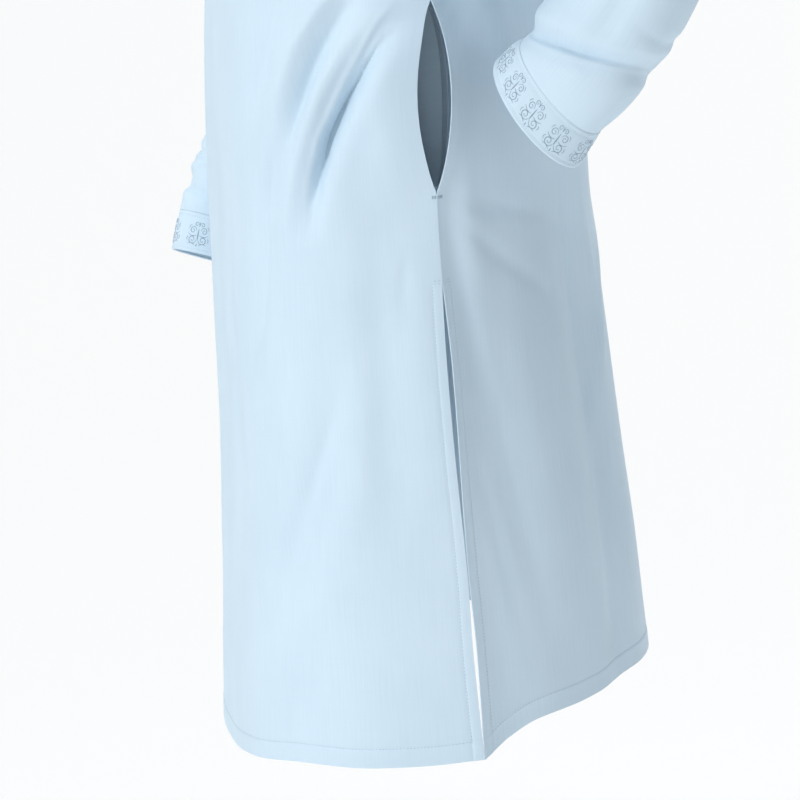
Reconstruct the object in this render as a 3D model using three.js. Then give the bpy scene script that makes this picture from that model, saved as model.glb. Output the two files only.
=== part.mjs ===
// A long plain kurta, standing open as it hangs when worn, with its left sleeve bent back
// and its right sleeve hanging a little forward. Millimetres, +Z up. The wearer faces -Y and
// the wearer's left is +X. The origin lies midway between the two neck points of the shoulders.
import * as THREE from 'three';

// ---------------------------------------------------------------- driving dimensions
const PANEL_WALL = 1.6; // front, back and sleeves
const BAND_WALL = 2.4; // cuffs and neck band, cloth folded double
const BAG_WALL = 1.2; // pocket bag
const SEAM_GAP = 0.3; // between neighbouring pieces

const UNDERARM_Z = -250;
const UPPER_SPAN = 240; // length along the cloth from the underarm level to the shoulder seam
const NECK_HALF_WIDTH = 70;
const NECK_FRONT_REACH = 76;
const NECK_BACK_REACH = 52;
const SHOULDER_SLOPE = 0.36; // fall for each millimetre outwards from the neck point
const SHOULDER_HALF_WIDTH = 226;

// Powers of the cosine and sine that draw the two halves of a section: the front is squarish,
// and the back falls away from the side seams like a wedge.
const FRONT_SHAPE = { across: 0.714, deep: 0.714 };
const BACK_SHAPE = { across: 0.95, deep: 1.25 };

const MOUTH_TOP_Z = -384; // left pocket, set in the side seam
const MOUTH_FOOT_Z = -549;
const MOUTH_GAP = 30;
const SLIT_TOP_Z = -630;

const NECK_BAND_HEIGHT = 32;
const NECK_BAND_PARTING = 0.15; // of the first stretch of the neckline, each side of the front
const PLACKET_ROWS = 11; // rows of the front that it covers, down from the neckline
const BUTTON_RADIUS = 5.6;
const BUTTON_HEIGHT = 2.4;
const BUTTON_COUNT = 4;

const CLOTH_COLOUR = 0xcfe3f1;

// Sections of the trunk from the chest down. The side seams stand at x = half, y = seam;
// the front reaches y = -front and the back y = back.
const SECTIONS = [
  { z: -250, half: 218, front: 143, back: 160, seam: 4 },
  { z: -280, half: 217, front: 144, back: 163, seam: 5 },
  { z: -340, half: 214, front: 152, back: 178, seam: 6 },
  { z: -420, half: 219, front: 159, back: 187, seam: 4 },
  { z: -520, half: 224, front: 164, back: 188, seam: 1 },
  { z: -600, half: 226, front: 165.5, back: 191, seam: 1 },
  { z: -700, half: 232, front: 167, back: 198, seam: 3 },
  { z: -800, half: 240, front: 168, back: 206, seam: 5 },
  { z: -900, half: 248, front: 172, back: 216, seam: 8 },
  { z: -1000, half: 254, front: 176, back: 223, seam: 11 },
  { z: -1110, half: 257, front: 181, back: 231, seam: 15 },
];

// Height of the hem by its angle round the section: 0 is the left side seam, -90 the centre
// front, 90 the centre back.
const HEM = [
  { angle: -180, z: -1050 },
  { angle: -150, z: -1059 },
  { angle: -97, z: -1084 },
  { angle: -74, z: -1072 },
  { angle: -48, z: -1057 },
  { angle: -20, z: -1055 },
  { angle: 0, z: -1051 },
  { angle: 11, z: -1036 },
  { angle: 20, z: -1025 },
  { angle: 34, z: -1020 },
  { angle: 60, z: -1012 },
  { angle: 90, z: -1016 },
  { angle: 150, z: -1026 },
  { angle: 180, z: -1050 },
];

// Opening between the edges of the side slit, front to back, down its length.
const SLIT = [
  { z: -620, gap: 0 },
  { z: -690, gap: 4.5 },
  { z: -760, gap: 4.5 },
  { z: -880, gap: 1 },
  { z: -980, gap: 5 },
  { z: -1040, gap: 4 },
  { z: -1110, gap: 3 },
];

// Largest folds. Each runs down the cloth from (a0, z0) by (a1, halfway) to (a2, z2), the angles
// in degrees round the section. A negative depth is a trough, and width is half its breadth.
const FOLDS = [
  { a0: 0, z0: -385, a1: -25, a2: -36, z2: -590, width: 22, depth: -12 },
  { a0: -4, z0: -340, a1: -36, a2: -48, z2: -570, width: 24, depth: -8 },
  { a0: -42, z0: -330, a1: -52, a2: -60, z2: -540, width: 24, depth: -4 },
  { a0: -50, z0: -470, a1: -54, a2: -70, z2: -740, width: 22, depth: -3 },
  { a0: -22, z0: -640, a1: -36, a2: -60, z2: -960, width: 34, depth: -5 },
  { a0: -10, z0: -560, a1: -12, a2: -14, z2: -860, width: 24, depth: -4 },
  { a0: -95, z0: -420, a1: -98, a2: -100, z2: -1000, width: 40, depth: -5 },
  { a0: -124, z0: -330, a1: -130, a2: -142, z2: -700, width: 24, depth: -7 },
  { a0: -150, z0: -420, a1: -148, a2: -140, z2: -980, width: 32, depth: -6 },
  { a0: -168, z0: -300, a1: -160, a2: -166, z2: -600, width: 20, depth: -6 },
  { a0: 3, z0: -560, a1: 18, a2: 30, z2: -1010, width: 30, depth: -6 },
  { a0: 13, z0: -520, a1: 14, a2: 16, z2: -1180, width: 34, depth: -9 },
  { a0: 44, z0: -500, a1: 52, a2: 50, z2: -1050, width: 26, depth: -9 },
  { a0: 72, z0: -420, a1: 80, a2: 84, z2: -980, width: 32, depth: -6 },
  { a0: 24, z0: -300, a1: 38, a2: 54, z2: -540, width: 28, depth: -7 },
  { a0: 118, z0: -360, a1: 112, a2: 110, z2: -1050, width: 34, depth: -8 },
  { a0: 150, z0: -520, a1: 140, a2: 144, z2: -1050, width: 28, depth: -7 },
  { a0: 158, z0: -280, a1: 144, a2: 132, z2: -560, width: 28, depth: -7 },
];
const MM_PER_DEGREE = 3.9;

// Rows of the panels, and the share of the way from the hem to the underarm that each reaches:
// they are closest beside the pocket. Above the underarm more rows run on to the shoulder.
const ROW_SHARES = [
  { row: 0, share: 0 },
  { row: 12, share: 0.54 },
  { row: 25, share: 0.9 },
  { row: 28, share: 1 },
];
const TRUNK_ROWS = ROW_SHARES[ROW_SHARES.length - 1].row;
const UPPER_ROWS = 8;

// Columns of each panel: those under half the neck, and those from there to each side.
const NECK_COLUMN_X = [0, 16, 36, 54, 65, NECK_HALF_WIDTH];
const NECK_COLUMNS = NECK_COLUMN_X.length - 1;
const SIDE_COLUMNS = { front: { left: 20, right: 10 }, back: { left: 14, right: 11 } };

// Middle lines of the sleeves: out of the armhole, round the elbow to the cuff seam and the end
// of the cuff. The rings start in the slanted plane of the armhole and stand square to the line
// once they have settled. The cuff slants forward by so much on the side of the line that starts
// at the shoulder tip, and by the tilt on the side a quarter turn from it. The sizes are half-axes
// of the section by the share of the way to the cuff seam: towards that line, and across it.
const LEFT_SLEEVE = {
  side: 1,
  armhole: { x: 212, y: 2, z: -152 },
  out: { x: 262, y: 40, z: -182 },
  elbow: { x: 332, y: 228, z: -292 },
  bend: 82,
  settled: 0.5,
  slant: 11,
  tilt: 8,
  cuffSeam: { x: 282, y: 103.5, z: -459 },
  cuffEnd: { x: 271, y: 84.5, z: -483 },
  cuffSize: { top: 57, side: 38 },
  sizes: [
    { along: 0, top: 98, side: 74 },
    { along: 0.25, top: 66, side: 66 },
    { along: 0.45, top: 56, side: 61 },
    { along: 0.6, top: 52, side: 58 },
    { along: 0.75, top: 53, side: 52 },
    { along: 0.93, top: 57, side: 42 },
    { along: 1, top: 52, side: 34 },
  ],
};
const RIGHT_SLEEVE = {
  side: -1,
  armhole: { x: -212, y: 2, z: -152 },
  out: { x: -246, y: 0, z: -230 },
  elbow: { x: -306, y: -20, z: -410 },
  bend: 400,
  settled: 0.8,
  slant: 0,
  tilt: 0,
  cuffSeam: { x: -261.7, y: -116.6, z: -623.9 },
  cuffEnd: { x: -256, y: -128, z: -659 },
  cuffSize: { top: 33, side: 56 },
  sizes: [
    { along: 0, top: 98, side: 74 },
    { along: 0.25, top: 70, side: 70 },
    { along: 0.45, top: 60, side: 64 },
    { along: 0.7, top: 52, side: 60 },
    { along: 0.93, top: 41, side: 60 },
    { along: 1, top: 34, side: 57 },
  ],
};
const SLEEVE_RINGS = 20;
const CUFF_RINGS = 3;

// Soft cross folds of the sleeves: where along the sleeve, how far the fold leans over as it
// goes round, the angle it is deepest at, its half breadth along the sleeve, and its depth.
const SLEEVE_FOLDS = {
  left: [
    { along: 0.92, lean: 0.06, deepest: 95, width: 0.035, depth: -7 },
    { along: 0.62, lean: 0.05, deepest: 180, width: 0.05, depth: -9 },
    { along: 0.5, lean: -0.04, deepest: 190, width: 0.04, depth: -8 },
    { along: 0.25, lean: 0.08, deepest: 250, width: 0.05, depth: -6 },
  ],
  right: [
    { along: 0.93, lean: 0.03, deepest: 60, width: 0.025, depth: -4 },
    { along: 0.8, lean: -0.05, deepest: 40, width: 0.04, depth: -4 },
    { along: 0.5, lean: 0.05, deepest: 120, width: 0.05, depth: -7 },
    { along: 0.3, lean: -0.06, deepest: 240, width: 0.05, depth: -5 },
  ],
};

// Pocket bag, from the mouth forward inside the front: angle round the section, height of the
// middle, half height, half thickness, depth in from the cloth, and turn of the bag from
// facing out of the seam (0) to lying flat along the front (90).
const BAG = [
  { angle: 1.5, z: -467, tall: 79, thick: 15, inset: 8, turn: 0 },
  { angle: 0, z: -468, tall: 82, thick: 15, inset: 15, turn: 25 },
  { angle: -5, z: -472, tall: 88, thick: 13, inset: 24, turn: 62 },
  { angle: -12, z: -486, tall: 100, thick: 11, inset: 28, turn: 90 },
  { angle: -20, z: -504, tall: 108, thick: 9, inset: 28, turn: 90 },
  { angle: -28, z: -520, tall: 98, thick: 7, inset: 27, turn: 90 },
  { angle: -34, z: -530, tall: 76, thick: 5, inset: 26, turn: 90 },
  { angle: -37, z: -534, tall: 46, thick: 3, inset: 26, turn: 90 },
];
const BAG_ROUND = 16;

// ---------------------------------------------------------------- small helpers
const DEG = Math.PI / 180;
const vec = (x, y, z) => new THREE.Vector3(x, y, z);
const mix = (a, b, t) => a + (b - a) * t;
const clamp = (t) => Math.min(1, Math.max(0, t));
const smooth = (t) => clamp(t) * clamp(t) * (3 - 2 * clamp(t));
const place = ({ x, y, z }) => vec(x, y, z);
const power = (v, p) => Math.sign(v) * Math.abs(v) ** p;

// A smooth reading of one column of a table whose key column rises or falls.
function read(rows, key, column, at) {
  const way = Math.sign(rows[rows.length - 1][key] - rows[0][key]);
  let i = 0;
  while (i < rows.length - 2 && way * (at - rows[i + 1][key]) > 0) i += 1;
  const slope = (k) => {
    const a = rows[Math.max(0, k - 1)];
    const b = rows[Math.min(rows.length - 1, k + 1)];
    return (b[column] - a[column]) / (b[key] - a[key]);
  };
  const span = rows[i + 1][key] - rows[i][key];
  const t = clamp((at - rows[i][key]) / span);
  const t2 = t * t;
  const t3 = t2 * t;
  return (
    (2 * t3 - 3 * t2 + 1) * rows[i][column] +
    (t3 - 2 * t2 + t) * span * slope(i) +
    (3 * t2 - 2 * t3) * rows[i + 1][column] +
    (t3 - t2) * span * slope(i + 1)
  );
}

// A closed wall between an outer and an inner grid of points. A round wall joins its last
// column to its first. The cells that otherWay names are split along their other diagonal.
function wallGeometry(outer, inner, round = false, otherWay = () => false) {
  const rows = outer.length;
  const columns = outer[0].length;
  const points = [...outer.flat(), ...inner.flat()];
  const faces = [];
  const at = (layer, i, j) => layer * rows * columns + i * columns + (j % columns);
  const quad = (a, b, c, d) => faces.push(a, b, c, a, c, d);
  const across = round ? columns : columns - 1;
  for (let i = 0; i < rows - 1; i += 1) {
    for (let j = 0; j < across; j += 1) {
      if (!otherWay(i, j)) {
        quad(at(0, i, j), at(0, i, j + 1), at(0, i + 1, j + 1), at(0, i + 1, j));
        quad(at(1, i, j), at(1, i + 1, j), at(1, i + 1, j + 1), at(1, i, j + 1));
      } else {
        quad(at(0, i, j + 1), at(0, i + 1, j + 1), at(0, i + 1, j), at(0, i, j));
        quad(at(1, i, j + 1), at(1, i, j), at(1, i + 1, j), at(1, i + 1, j + 1));
      }
    }
  }
  for (let j = 0; j < across; j += 1) {
    quad(at(0, 0, j), at(1, 0, j), at(1, 0, j + 1), at(0, 0, j + 1));
    quad(at(0, rows - 1, j), at(0, rows - 1, j + 1), at(1, rows - 1, j + 1), at(1, rows - 1, j));
  }
  if (!round) {
    const end = columns - 1;
    for (let i = 0; i < rows - 1; i += 1) {
      quad(at(0, i, 0), at(0, i + 1, 0), at(1, i + 1, 0), at(1, i, 0));
      quad(at(0, i, end), at(1, i, end), at(1, i + 1, end), at(0, i + 1, end));
    }
  }
  return closedGeometry(points, faces);
}

// Indexed geometry with its faces turned outwards.
function closedGeometry(points, faces) {
  let volume = 0;
  for (let k = 0; k < faces.length; k += 3) {
    const [a, b, c] = [points[faces[k]], points[faces[k + 1]], points[faces[k + 2]]];
    volume += a.dot(b.clone().cross(c));
  }
  if (volume < 0) faces.reverse();
  const geometry = new THREE.BufferGeometry();
  geometry.setAttribute(
    'position',
    new THREE.Float32BufferAttribute(points.flatMap((p) => p.toArray()), 3),
  );
  geometry.setIndex(faces);
  geometry.computeVertexNormals();
  return geometry;
}

// ---------------------------------------------------------------- the body of the kurta
function foldDepth(angle, z) {
  let depth = 0;
  for (const fold of FOLDS) {
    const t = (fold.z0 - z) / (fold.z0 - fold.z2);
    if (t <= 0 || t >= 1) continue;
    const middle = 2 * (t - 0.5) * (t - 1) * fold.a0 + 4 * t * (1 - t) * fold.a1
      + 2 * t * (t - 0.5) * fold.a2;
    let away = angle - middle;
    if (away > 180) away -= 360;
    if (away < -180) away += 360;
    const across = (away * MM_PER_DEGREE) / fold.width;
    depth += fold.depth * Math.sin(Math.PI * t) ** 0.7 * (1 - 0.6 * across * across)
      * Math.exp((-across * across) / 2);
  }
  return depth;
}

// How far the cloth stands out over the pocket mouth, and sinks along the side seams.
function seamRelief(angle, z) {
  const along = smooth((MOUTH_TOP_Z + 30 - z) / 60) * smooth((z - MOUTH_FOOT_Z + 20) / 60);
  const mouth = 9 * along * Math.exp(-(((angle + 5) / 11) ** 2));
  const tuck = -3 * (Math.exp(-((angle / 5) ** 2)) + Math.exp(-(((Math.abs(angle) - 180) / 5) ** 2)));
  return mouth + tuck * smooth((UNDERARM_Z - z) / 120);
}

// Height of the shoulder line, straight outside the neck point and rounded over inside it.
function shoulderHeight(x) {
  if (x >= NECK_HALF_WIDTH) return SHOULDER_SLOPE * (NECK_HALF_WIDTH - x);
  return ((SHOULDER_SLOPE * NECK_HALF_WIDTH) / 2) * (1 - (x / NECK_HALF_WIDTH) ** 2);
}

// A point of the cloth's smooth outer face. Level is the height up to the underarm, and from
// there it runs on along the cloth to the shoulder seam.
function smoothCloth(angle, level) {
  const z = Math.min(level, UNDERARM_Z);
  const rise = Math.max(0, (level - UNDERARM_Z) / UPPER_SPAN);
  const isFront = angle < 0;
  const shape = isFront ? FRONT_SHAPE : BACK_SHAPE;
  const across = power(Math.cos(angle * DEG), shape.across);
  const reach = Math.abs(Math.sin(angle * DEG)) ** shape.deep;
  const half = mix(read(SECTIONS, 'z', 'half', z), SHOULDER_HALF_WIDTH, smooth(rise));
  const seam = read(SECTIONS, 'z', 'seam', z);
  const depth = isFront
    ? -read(SECTIONS, 'z', 'front', z) - seam
    : read(SECTIONS, 'z', 'back', z) - seam;
  const turn = (rise * Math.PI) / 2;
  const bend = isFront ? mix(1.1, 2, reach ** 3) : 1;
  const x = half * across;
  const y = seam * Math.cos(turn) + depth * reach * Math.cos(turn) ** bend;
  const top = shoulderHeight(Math.abs(x));
  return vec(x, y, rise > 0 ? mix(z, top, Math.sin(turn)) : z);
}

function smoothNormal(angle, level) {
  const step = 0.4;
  const side = Math.abs(Math.sin(angle * DEG)) < 0.02 ? Math.sign(Math.cos(angle * DEG)) : 0;
  if (side !== 0) return vec(side, 0, 0);
  const low = smoothCloth(angle, level - 2 * step);
  const high = smoothCloth(angle, Math.min(level, UNDERARM_Z + UPPER_SPAN - 6) + 2 * step);
  const down = smoothCloth(angle - step, level);
  const up = smoothCloth(angle + step, level);
  return up.sub(down).cross(high.sub(low)).normalize();
}

function cloth(angle, level) {
  const fade = 1 - smooth((level - UNDERARM_Z) / (0.5 * UPPER_SPAN));
  const out = fade * (foldDepth(angle, level) + seamRelief(angle, level));
  return smoothCloth(angle, level).addScaledVector(smoothNormal(angle, level), out);
}

// The armhole is cut back from the side seam line by this angle, most in its lower half.
function armholeSetback(level) {
  const rise = clamp((level - UNDERARM_Z) / UPPER_SPAN);
  return 15 * rise + 88 * rise ** 0.6 * (1 - rise) ** 1.1;
}

// Level at which a column that runs up under the neck meets the neckline.
function neckLevel(angle) {
  const probe = smoothCloth(angle, UNDERARM_Z + UPPER_SPAN);
  const inside = 1 - (probe.x / NECK_HALF_WIDTH) ** 2;
  if (inside <= 0.002) return UNDERARM_Z + UPPER_SPAN;
  const reach = (angle < 0 ? NECK_FRONT_REACH : NECK_BACK_REACH) * Math.sqrt(inside);
  let low = UNDERARM_Z;
  let high = UNDERARM_Z + UPPER_SPAN;
  for (let k = 0; k < 30; k += 1) {
    const level = (low + high) / 2;
    if (Math.abs(smoothCloth(angle, level).y) > reach) low = level;
    else high = level;
  }
  return (low + high) / 2;
}

// Columns of a panel as pairs: the side (1 left, -1 right) and the share of the way out from
// the centre, where the first unit covers the neck and the second the rest.
function panelColumns(face) {
  const { left, right } = SIDE_COLUMNS[face];
  const columns = [];
  const underNeck = NECK_COLUMN_X.map((x) => x / NECK_HALF_WIDTH);
  for (let j = right; j > 0; j -= 1) columns.push({ side: -1, out: 1 + j / right });
  for (let j = NECK_COLUMNS; j > 0; j -= 1) columns.push({ side: -1, out: underNeck[j] });
  for (const out of underNeck) columns.push({ side: 1, out });
  for (let j = 1; j <= left; j += 1) columns.push({ side: 1, out: 1 + j / left });
  return columns;
}

const centreColumn = (face) => SIDE_COLUMNS[face].right + NECK_COLUMNS;

function columnAngle(face, column, level) {
  const shape = face === 'front' ? FRONT_SHAPE : BACK_SHAPE;
  const x = Math.min(1, column.out) * NECK_HALF_WIDTH;
  const neck = Math.asin((x / SHOULDER_HALF_WIDTH) ** (1 / shape.across)) / DEG;
  const offset = column.out <= 1
    ? neck
    : mix(neck, 90, column.out - 1) - armholeSetback(level) * (column.out - 1) ** 1.4;
  return face === 'front' ? -90 + column.side * offset : 90 - column.side * offset;
}

function rowLevel(face, column, row) {
  if (row <= TRUNK_ROWS) {
    const hem = read(HEM, 'angle', 'z', columnAngle(face, column, UNDERARM_Z));
    return mix(hem, UNDERARM_Z, read(ROW_SHARES, 'row', 'share', row));
  }
  const share = ((row - TRUNK_ROWS) / UPPER_ROWS) ** 1.5;
  const shoulder = UNDERARM_Z + UPPER_SPAN;
  const last = column.out <= 1 ? neckLevel(columnAngle(face, column, shoulder)) : shoulder;
  return mix(UNDERARM_Z, shoulder, share) - (shoulder - last) * share ** 2;
}

// Half the opening between front and back at a side edge: a seam, the pocket mouth or the slit.
function halfOpening(side, level) {
  const z = Math.min(level, UNDERARM_Z);
  let gap = SEAM_GAP;
  if (z < SLIT_TOP_Z) gap += Math.max(0, read(SLIT, 'z', 'gap', z));
  if (side > 0 && z < MOUTH_TOP_Z && z > MOUTH_FOOT_Z) {
    const t = (z - MOUTH_FOOT_Z) / (MOUTH_TOP_Z - MOUTH_FOOT_Z);
    gap += MOUTH_GAP * Math.sin(Math.PI * t) ** 0.8;
  }
  return gap / 2;
}

// Outer points and normals of one panel.
function panelGrid(face) {
  const columns = panelColumns(face);
  const forward = face === 'front' ? -1 : 1;
  const grid = [];
  for (let i = 0; i <= TRUNK_ROWS + UPPER_ROWS; i += 1) {
    grid.push(columns.map((column) => {
      const level = rowLevel(face, column, i);
      const angle = columnAngle(face, column, level);
      const point = cloth(angle, level);
      const normal = smoothNormal(angle, level);
      if (level <= UNDERARM_Z) {
        const reach = level > MOUTH_FOOT_Z ? 60 : 30;
        const near = 1 - smooth(((2 - column.out) * 76 * MM_PER_DEGREE) / reach);
        point.y += forward * halfOpening(column.side, level) * near;
      }
      return { point, normal, column };
    }));
  }
  finishArmholes(grid);
  finishShoulders(grid, forward);
  return grid;
}

// Above the underarm the side edges stand half a seam gap back from the armhole seam.
function finishArmholes(grid) {
  const last = grid[0].length - 1;
  for (let i = TRUNK_ROWS; i < grid.length; i += 1) {
    for (const [edge, next] of [[0, 1], [last, last - 1]]) {
      const cell = grid[i][edge];
      const inward = grid[i][next].point.clone().sub(cell.point).normalize();
      cell.seam = cell.point.clone();
      if (i === grid.length - 1) cell.normal = vec(cell.column.side, 0, 1).normalize();
      cell.point.addScaledVector(inward, SEAM_GAP / 2);
    }
  }
}

// The shoulder seam runs along y = 0, half a seam gap away on either side.
function finishShoulders(grid, forward) {
  const top = grid[grid.length - 1];
  top.forEach((cell, j) => {
    if (cell.column.out < 1) return;
    const up = vec(cell.column.side * SHOULDER_SLOPE, 0, 1).normalize();
    if (j > 0 && j < top.length - 1) cell.normal = up;
    cell.point.y = (forward * SEAM_GAP) / 2;
  });
}

function offsetGrid(grid, distance) {
  const moved = ({ point, normal }) => point.clone().addScaledVector(normal, distance);
  return grid.map((row) => row.map(moved));
}

const frontGrid = panelGrid('front');
const backGrid = panelGrid('back');

function panelGeometry(grid) {
  return wallGeometry(offsetGrid(grid, 0), offsetGrid(grid, -PANEL_WALL), false, alongFolds(grid));
}

// On both sides of the centre the cells are split along the folds, which lean up and outwards.
function alongFolds(grid) {
  return (i, j) => grid[i][j].column.side < 0;
}

// ---------------------------------------------------------------- sleeves and cuffs
// The armhole ring from the shoulder tip down the front, through the underarm, up the back.
function armholeRing(side) {
  const edgeCell = (row) => row[side > 0 ? row.length - 1 : 0];
  const ring = [];
  for (let i = TRUNK_ROWS + UPPER_ROWS; i >= TRUNK_ROWS; i -= 1) ring.push(edgeCell(frontGrid[i]));
  for (let i = TRUNK_ROWS + 1; i < TRUNK_ROWS + UPPER_ROWS; i += 1) ring.push(edgeCell(backGrid[i]));
  return ring;
}

// The middle line of a sleeve, with an arc of the given radius in place of the elbow corner.
function middleLine({ armhole, out, elbow, bend, cuffSeam, cuffEnd }) {
  const corner = place(elbow);
  const back = place(out).sub(corner).normalize();
  const onward = place(cuffSeam).sub(corner).normalize();
  const half = back.angleTo(onward) / 2;
  const leg = Math.min(bend / Math.tan(half), 0.7 * place(cuffSeam).distanceTo(corner));
  const radius = leg * Math.tan(half);
  const middle = back.clone().add(onward).normalize()
    .multiplyScalar(radius / Math.sin(half) - radius);
  return new THREE.CatmullRomCurve3([
    place(armhole),
    place(out),
    corner.clone().addScaledVector(back, leg),
    corner.clone().add(middle),
    corner.clone().addScaledVector(onward, leg),
    place(cuffSeam),
    place(cuffEnd),
  ], false, 'centripetal');
}

function sleeveFold(folds, along, around) {
  let depth = 0;
  for (const fold of folds) {
    const turned = (around - fold.deepest) * DEG;
    const middle = fold.along + fold.lean * Math.sin(turned);
    const off = (along - middle) / fold.width;
    const share = 0.5 + 0.5 * Math.cos(turned);
    depth += fold.depth * share * (1 - off * off) * Math.exp(-off * off);
  }
  return depth;
}

// Rings of outer points and normals of a sleeve, then of its cuff. The rings start in the shape
// of the armhole and take on the oval sections of the table.
function sleeveRings(sleeve, folds) {
  const curve = middleLine(sleeve);
  const ring = armholeRing(sleeve.side);
  const seamAt = 1 - place(sleeve.cuffSeam).distanceTo(place(sleeve.cuffEnd)) / curve.getLength();
  const stations = [];
  for (let i = 0; i <= SLEEVE_RINGS; i += 1) stations.push((seamAt * i) / SLEEVE_RINGS);
  for (let i = 1; i <= CUFF_RINGS; i += 1) stations.push(mix(seamAt, 1, i / CUFF_RINGS));
  let top = vec(0, 0, 1);
  let spots = null;
  return stations.map((t) => {
    const centre = curve.getPointAt(t);
    const ahead = curve.getTangentAt(t);
    top = top.clone().addScaledVector(ahead, -top.dot(ahead)).normalize();
    const across = top.clone().cross(ahead).multiplyScalar(-sleeve.side).normalize();
    if (!spots) {
      spots = ring.map(({ seam }) => {
        const away = seam.clone().sub(centre);
        return { top: away.dot(top), side: away.dot(across), ahead: away.dot(ahead) };
      });
    }
    const along = t / seamAt;
    const onCuff = clamp((t - seamAt) / (1 - seamAt));
    const half = (axis) => mix(
      read(sleeve.sizes, 'along', axis, Math.min(1, along)),
      sleeve.cuffSize[axis],
      onCuff,
    );
    const size = { top: half('top'), side: half('side') };
    return spots.map((spot, j) => {
      const around = (j / spots.length) * 2 * Math.PI;
      const fold = sleeveFold(folds, along, around / DEG);
      const halfTop = size.top + fold;
      const halfSide = size.side + fold;
      const oval = smooth(along / 0.32);
      const lean = sleeve.slant * Math.cos(around) + sleeve.tilt * Math.sin(around);
      const slant = lean * smooth((along - 0.65) / 0.35);
      const point = centre.clone()
        .addScaledVector(top, mix(spot.top, halfTop * Math.cos(around), oval))
        .addScaledVector(across, mix(spot.side, halfSide * Math.sin(around), oval))
        .addScaledVector(ahead, mix(spot.ahead, 0, smooth(along / sleeve.settled)) + slant);
      const normal = top.clone().multiplyScalar(Math.cos(around) / halfTop)
        .addScaledVector(across, Math.sin(around) / halfSide).normalize();
      return { point, normal };
    });
  });
}

// The armhole seam: where the sleeve turns away over a ridge, panel and sleeve share a mitre,
// and where the two fold together under the arm, each keeps its own direction.
function joinArmhole(ring, rings) {
  rings[0].forEach((cell, j) => {
    const { seam, normal } = ring[j];
    const next = ring[(j + 1) % ring.length].seam;
    const before = ring[(j + ring.length - 1) % ring.length].seam;
    const onward = rings[1][j].point.clone().sub(seam).normalize();
    const own = next.clone().sub(before).cross(onward).normalize();
    if (own.dot(rings[1][j].normal) < 0) own.negate();
    const ridge = onward.dot(normal) < 0;
    if (ridge && j > 0) ring[j].normal = normal.clone().add(own).normalize();
    cell.normal = ridge ? ring[j].normal : own;
    cell.point.copy(seam).addScaledVector(onward, SEAM_GAP / 2);
    if (!ridge) cell.point.addScaledVector(own, -SEAM_GAP);
  });
}

function sleeveAndCuff(shape, folds) {
  const rings = sleeveRings(shape, folds);
  joinArmhole(armholeRing(shape.side), rings);
  const sleeve = rings.slice(0, SLEEVE_RINGS + 1);
  const copy = (cell) => ({ ...cell, point: cell.point.clone() });
  const cuff = rings.slice(SLEEVE_RINGS).map((ring) => ring.map(copy));
  cuff[0].forEach((cell, j) => {
    const onward = cuff[1][j].point.clone().sub(cell.point).normalize();
    cell.point.addScaledVector(onward, SEAM_GAP);
  });
  return {
    sleeve: wallGeometry(offsetGrid(sleeve, 0), offsetGrid(sleeve, -PANEL_WALL), true),
    cuff: wallGeometry(offsetGrid(cuff, 0), offsetGrid(cuff, -BAND_WALL), true),
  };
}

// ---------------------------------------------------------------- neck band, placket, buttons
// The neckline from the centre front round the left, the back and the right to the front.
function necklineRing() {
  const top = TRUNK_ROWS + UPPER_ROWS;
  const ring = [];
  const front = (j) => frontGrid[top][centreColumn('front') + j];
  const back = (j) => backGrid[top][centreColumn('back') + j];
  for (let j = 0; j <= NECK_COLUMNS; j += 1) ring.push(front(j));
  for (let j = NECK_COLUMNS - 1; j > -NECK_COLUMNS; j -= 1) ring.push(back(j));
  for (let j = -NECK_COLUMNS; j <= 0; j += 1) ring.push(front(j));
  return ring;
}

function neckBandGeometry() {
  const ring = necklineRing();
  const levels = [0, 0.5, 1];
  const cells = levels.map((share) => ring.map((cell, j) => {
    const radial = cell.point.clone().setZ(0).normalize();
    const end = Math.min(j, ring.length - 1 - j);
    const height = NECK_BAND_HEIGHT * (end === 0 ? 0.72 : 1);
    const point = cell.point.clone();
    if (end === 0) point.lerp(ring[j === 0 ? 1 : j - 1].point, NECK_BAND_PARTING);
    point.z += SEAM_GAP * 1.5 + share * height;
    point.addScaledVector(radial, -share * height * 0.22 - SEAM_GAP);
    const normal = cell.normal.clone().lerp(radial, share === 0 ? 0.2 : 1).normalize();
    return { point, normal };
  }));
  return wallGeometry(offsetGrid(cells, 0), offsetGrid(cells, -BAND_WALL));
}

function placketGrid() {
  const last = TRUNK_ROWS + UPPER_ROWS;
  return frontGrid.slice(last - PLACKET_ROWS, last + 1)
    .map((row) => row.slice(centreColumn('front') - 1, centreColumn('front') + 2));
}

function placketGeometry() {
  const grid = placketGrid();
  const outer = offsetGrid(grid, SEAM_GAP + PANEL_WALL);
  return wallGeometry(outer, offsetGrid(grid, SEAM_GAP), false, alongFolds(grid));
}

function buttonMesh(index) {
  const rim = BUTTON_HEIGHT * 0.5;
  const profile = [
    new THREE.Vector2(0, 0),
    new THREE.Vector2(BUTTON_RADIUS * 0.8, 0),
    new THREE.Vector2(BUTTON_RADIUS, rim),
    new THREE.Vector2(BUTTON_RADIUS * 0.84, BUTTON_HEIGHT),
    new THREE.Vector2(BUTTON_RADIUS * 0.6, BUTTON_HEIGHT * 0.72),
    new THREE.Vector2(0, BUTTON_HEIGHT * 0.72),
  ];
  const button = new THREE.Mesh(
    new THREE.LatheGeometry(profile, 14),
    new THREE.MeshStandardMaterial({ color: 0xe9f1f6, roughness: 0.3 }),
  );
  const grid = placketGrid();
  const cell = grid[grid.length - 2 - 2 * index][1];
  button.position.copy(cell.point)
    .addScaledVector(cell.normal, 2 * SEAM_GAP + PANEL_WALL + 0.1);
  button.quaternion.setFromUnitVectors(vec(0, 1, 0), cell.normal);
  return button;
}

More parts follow.
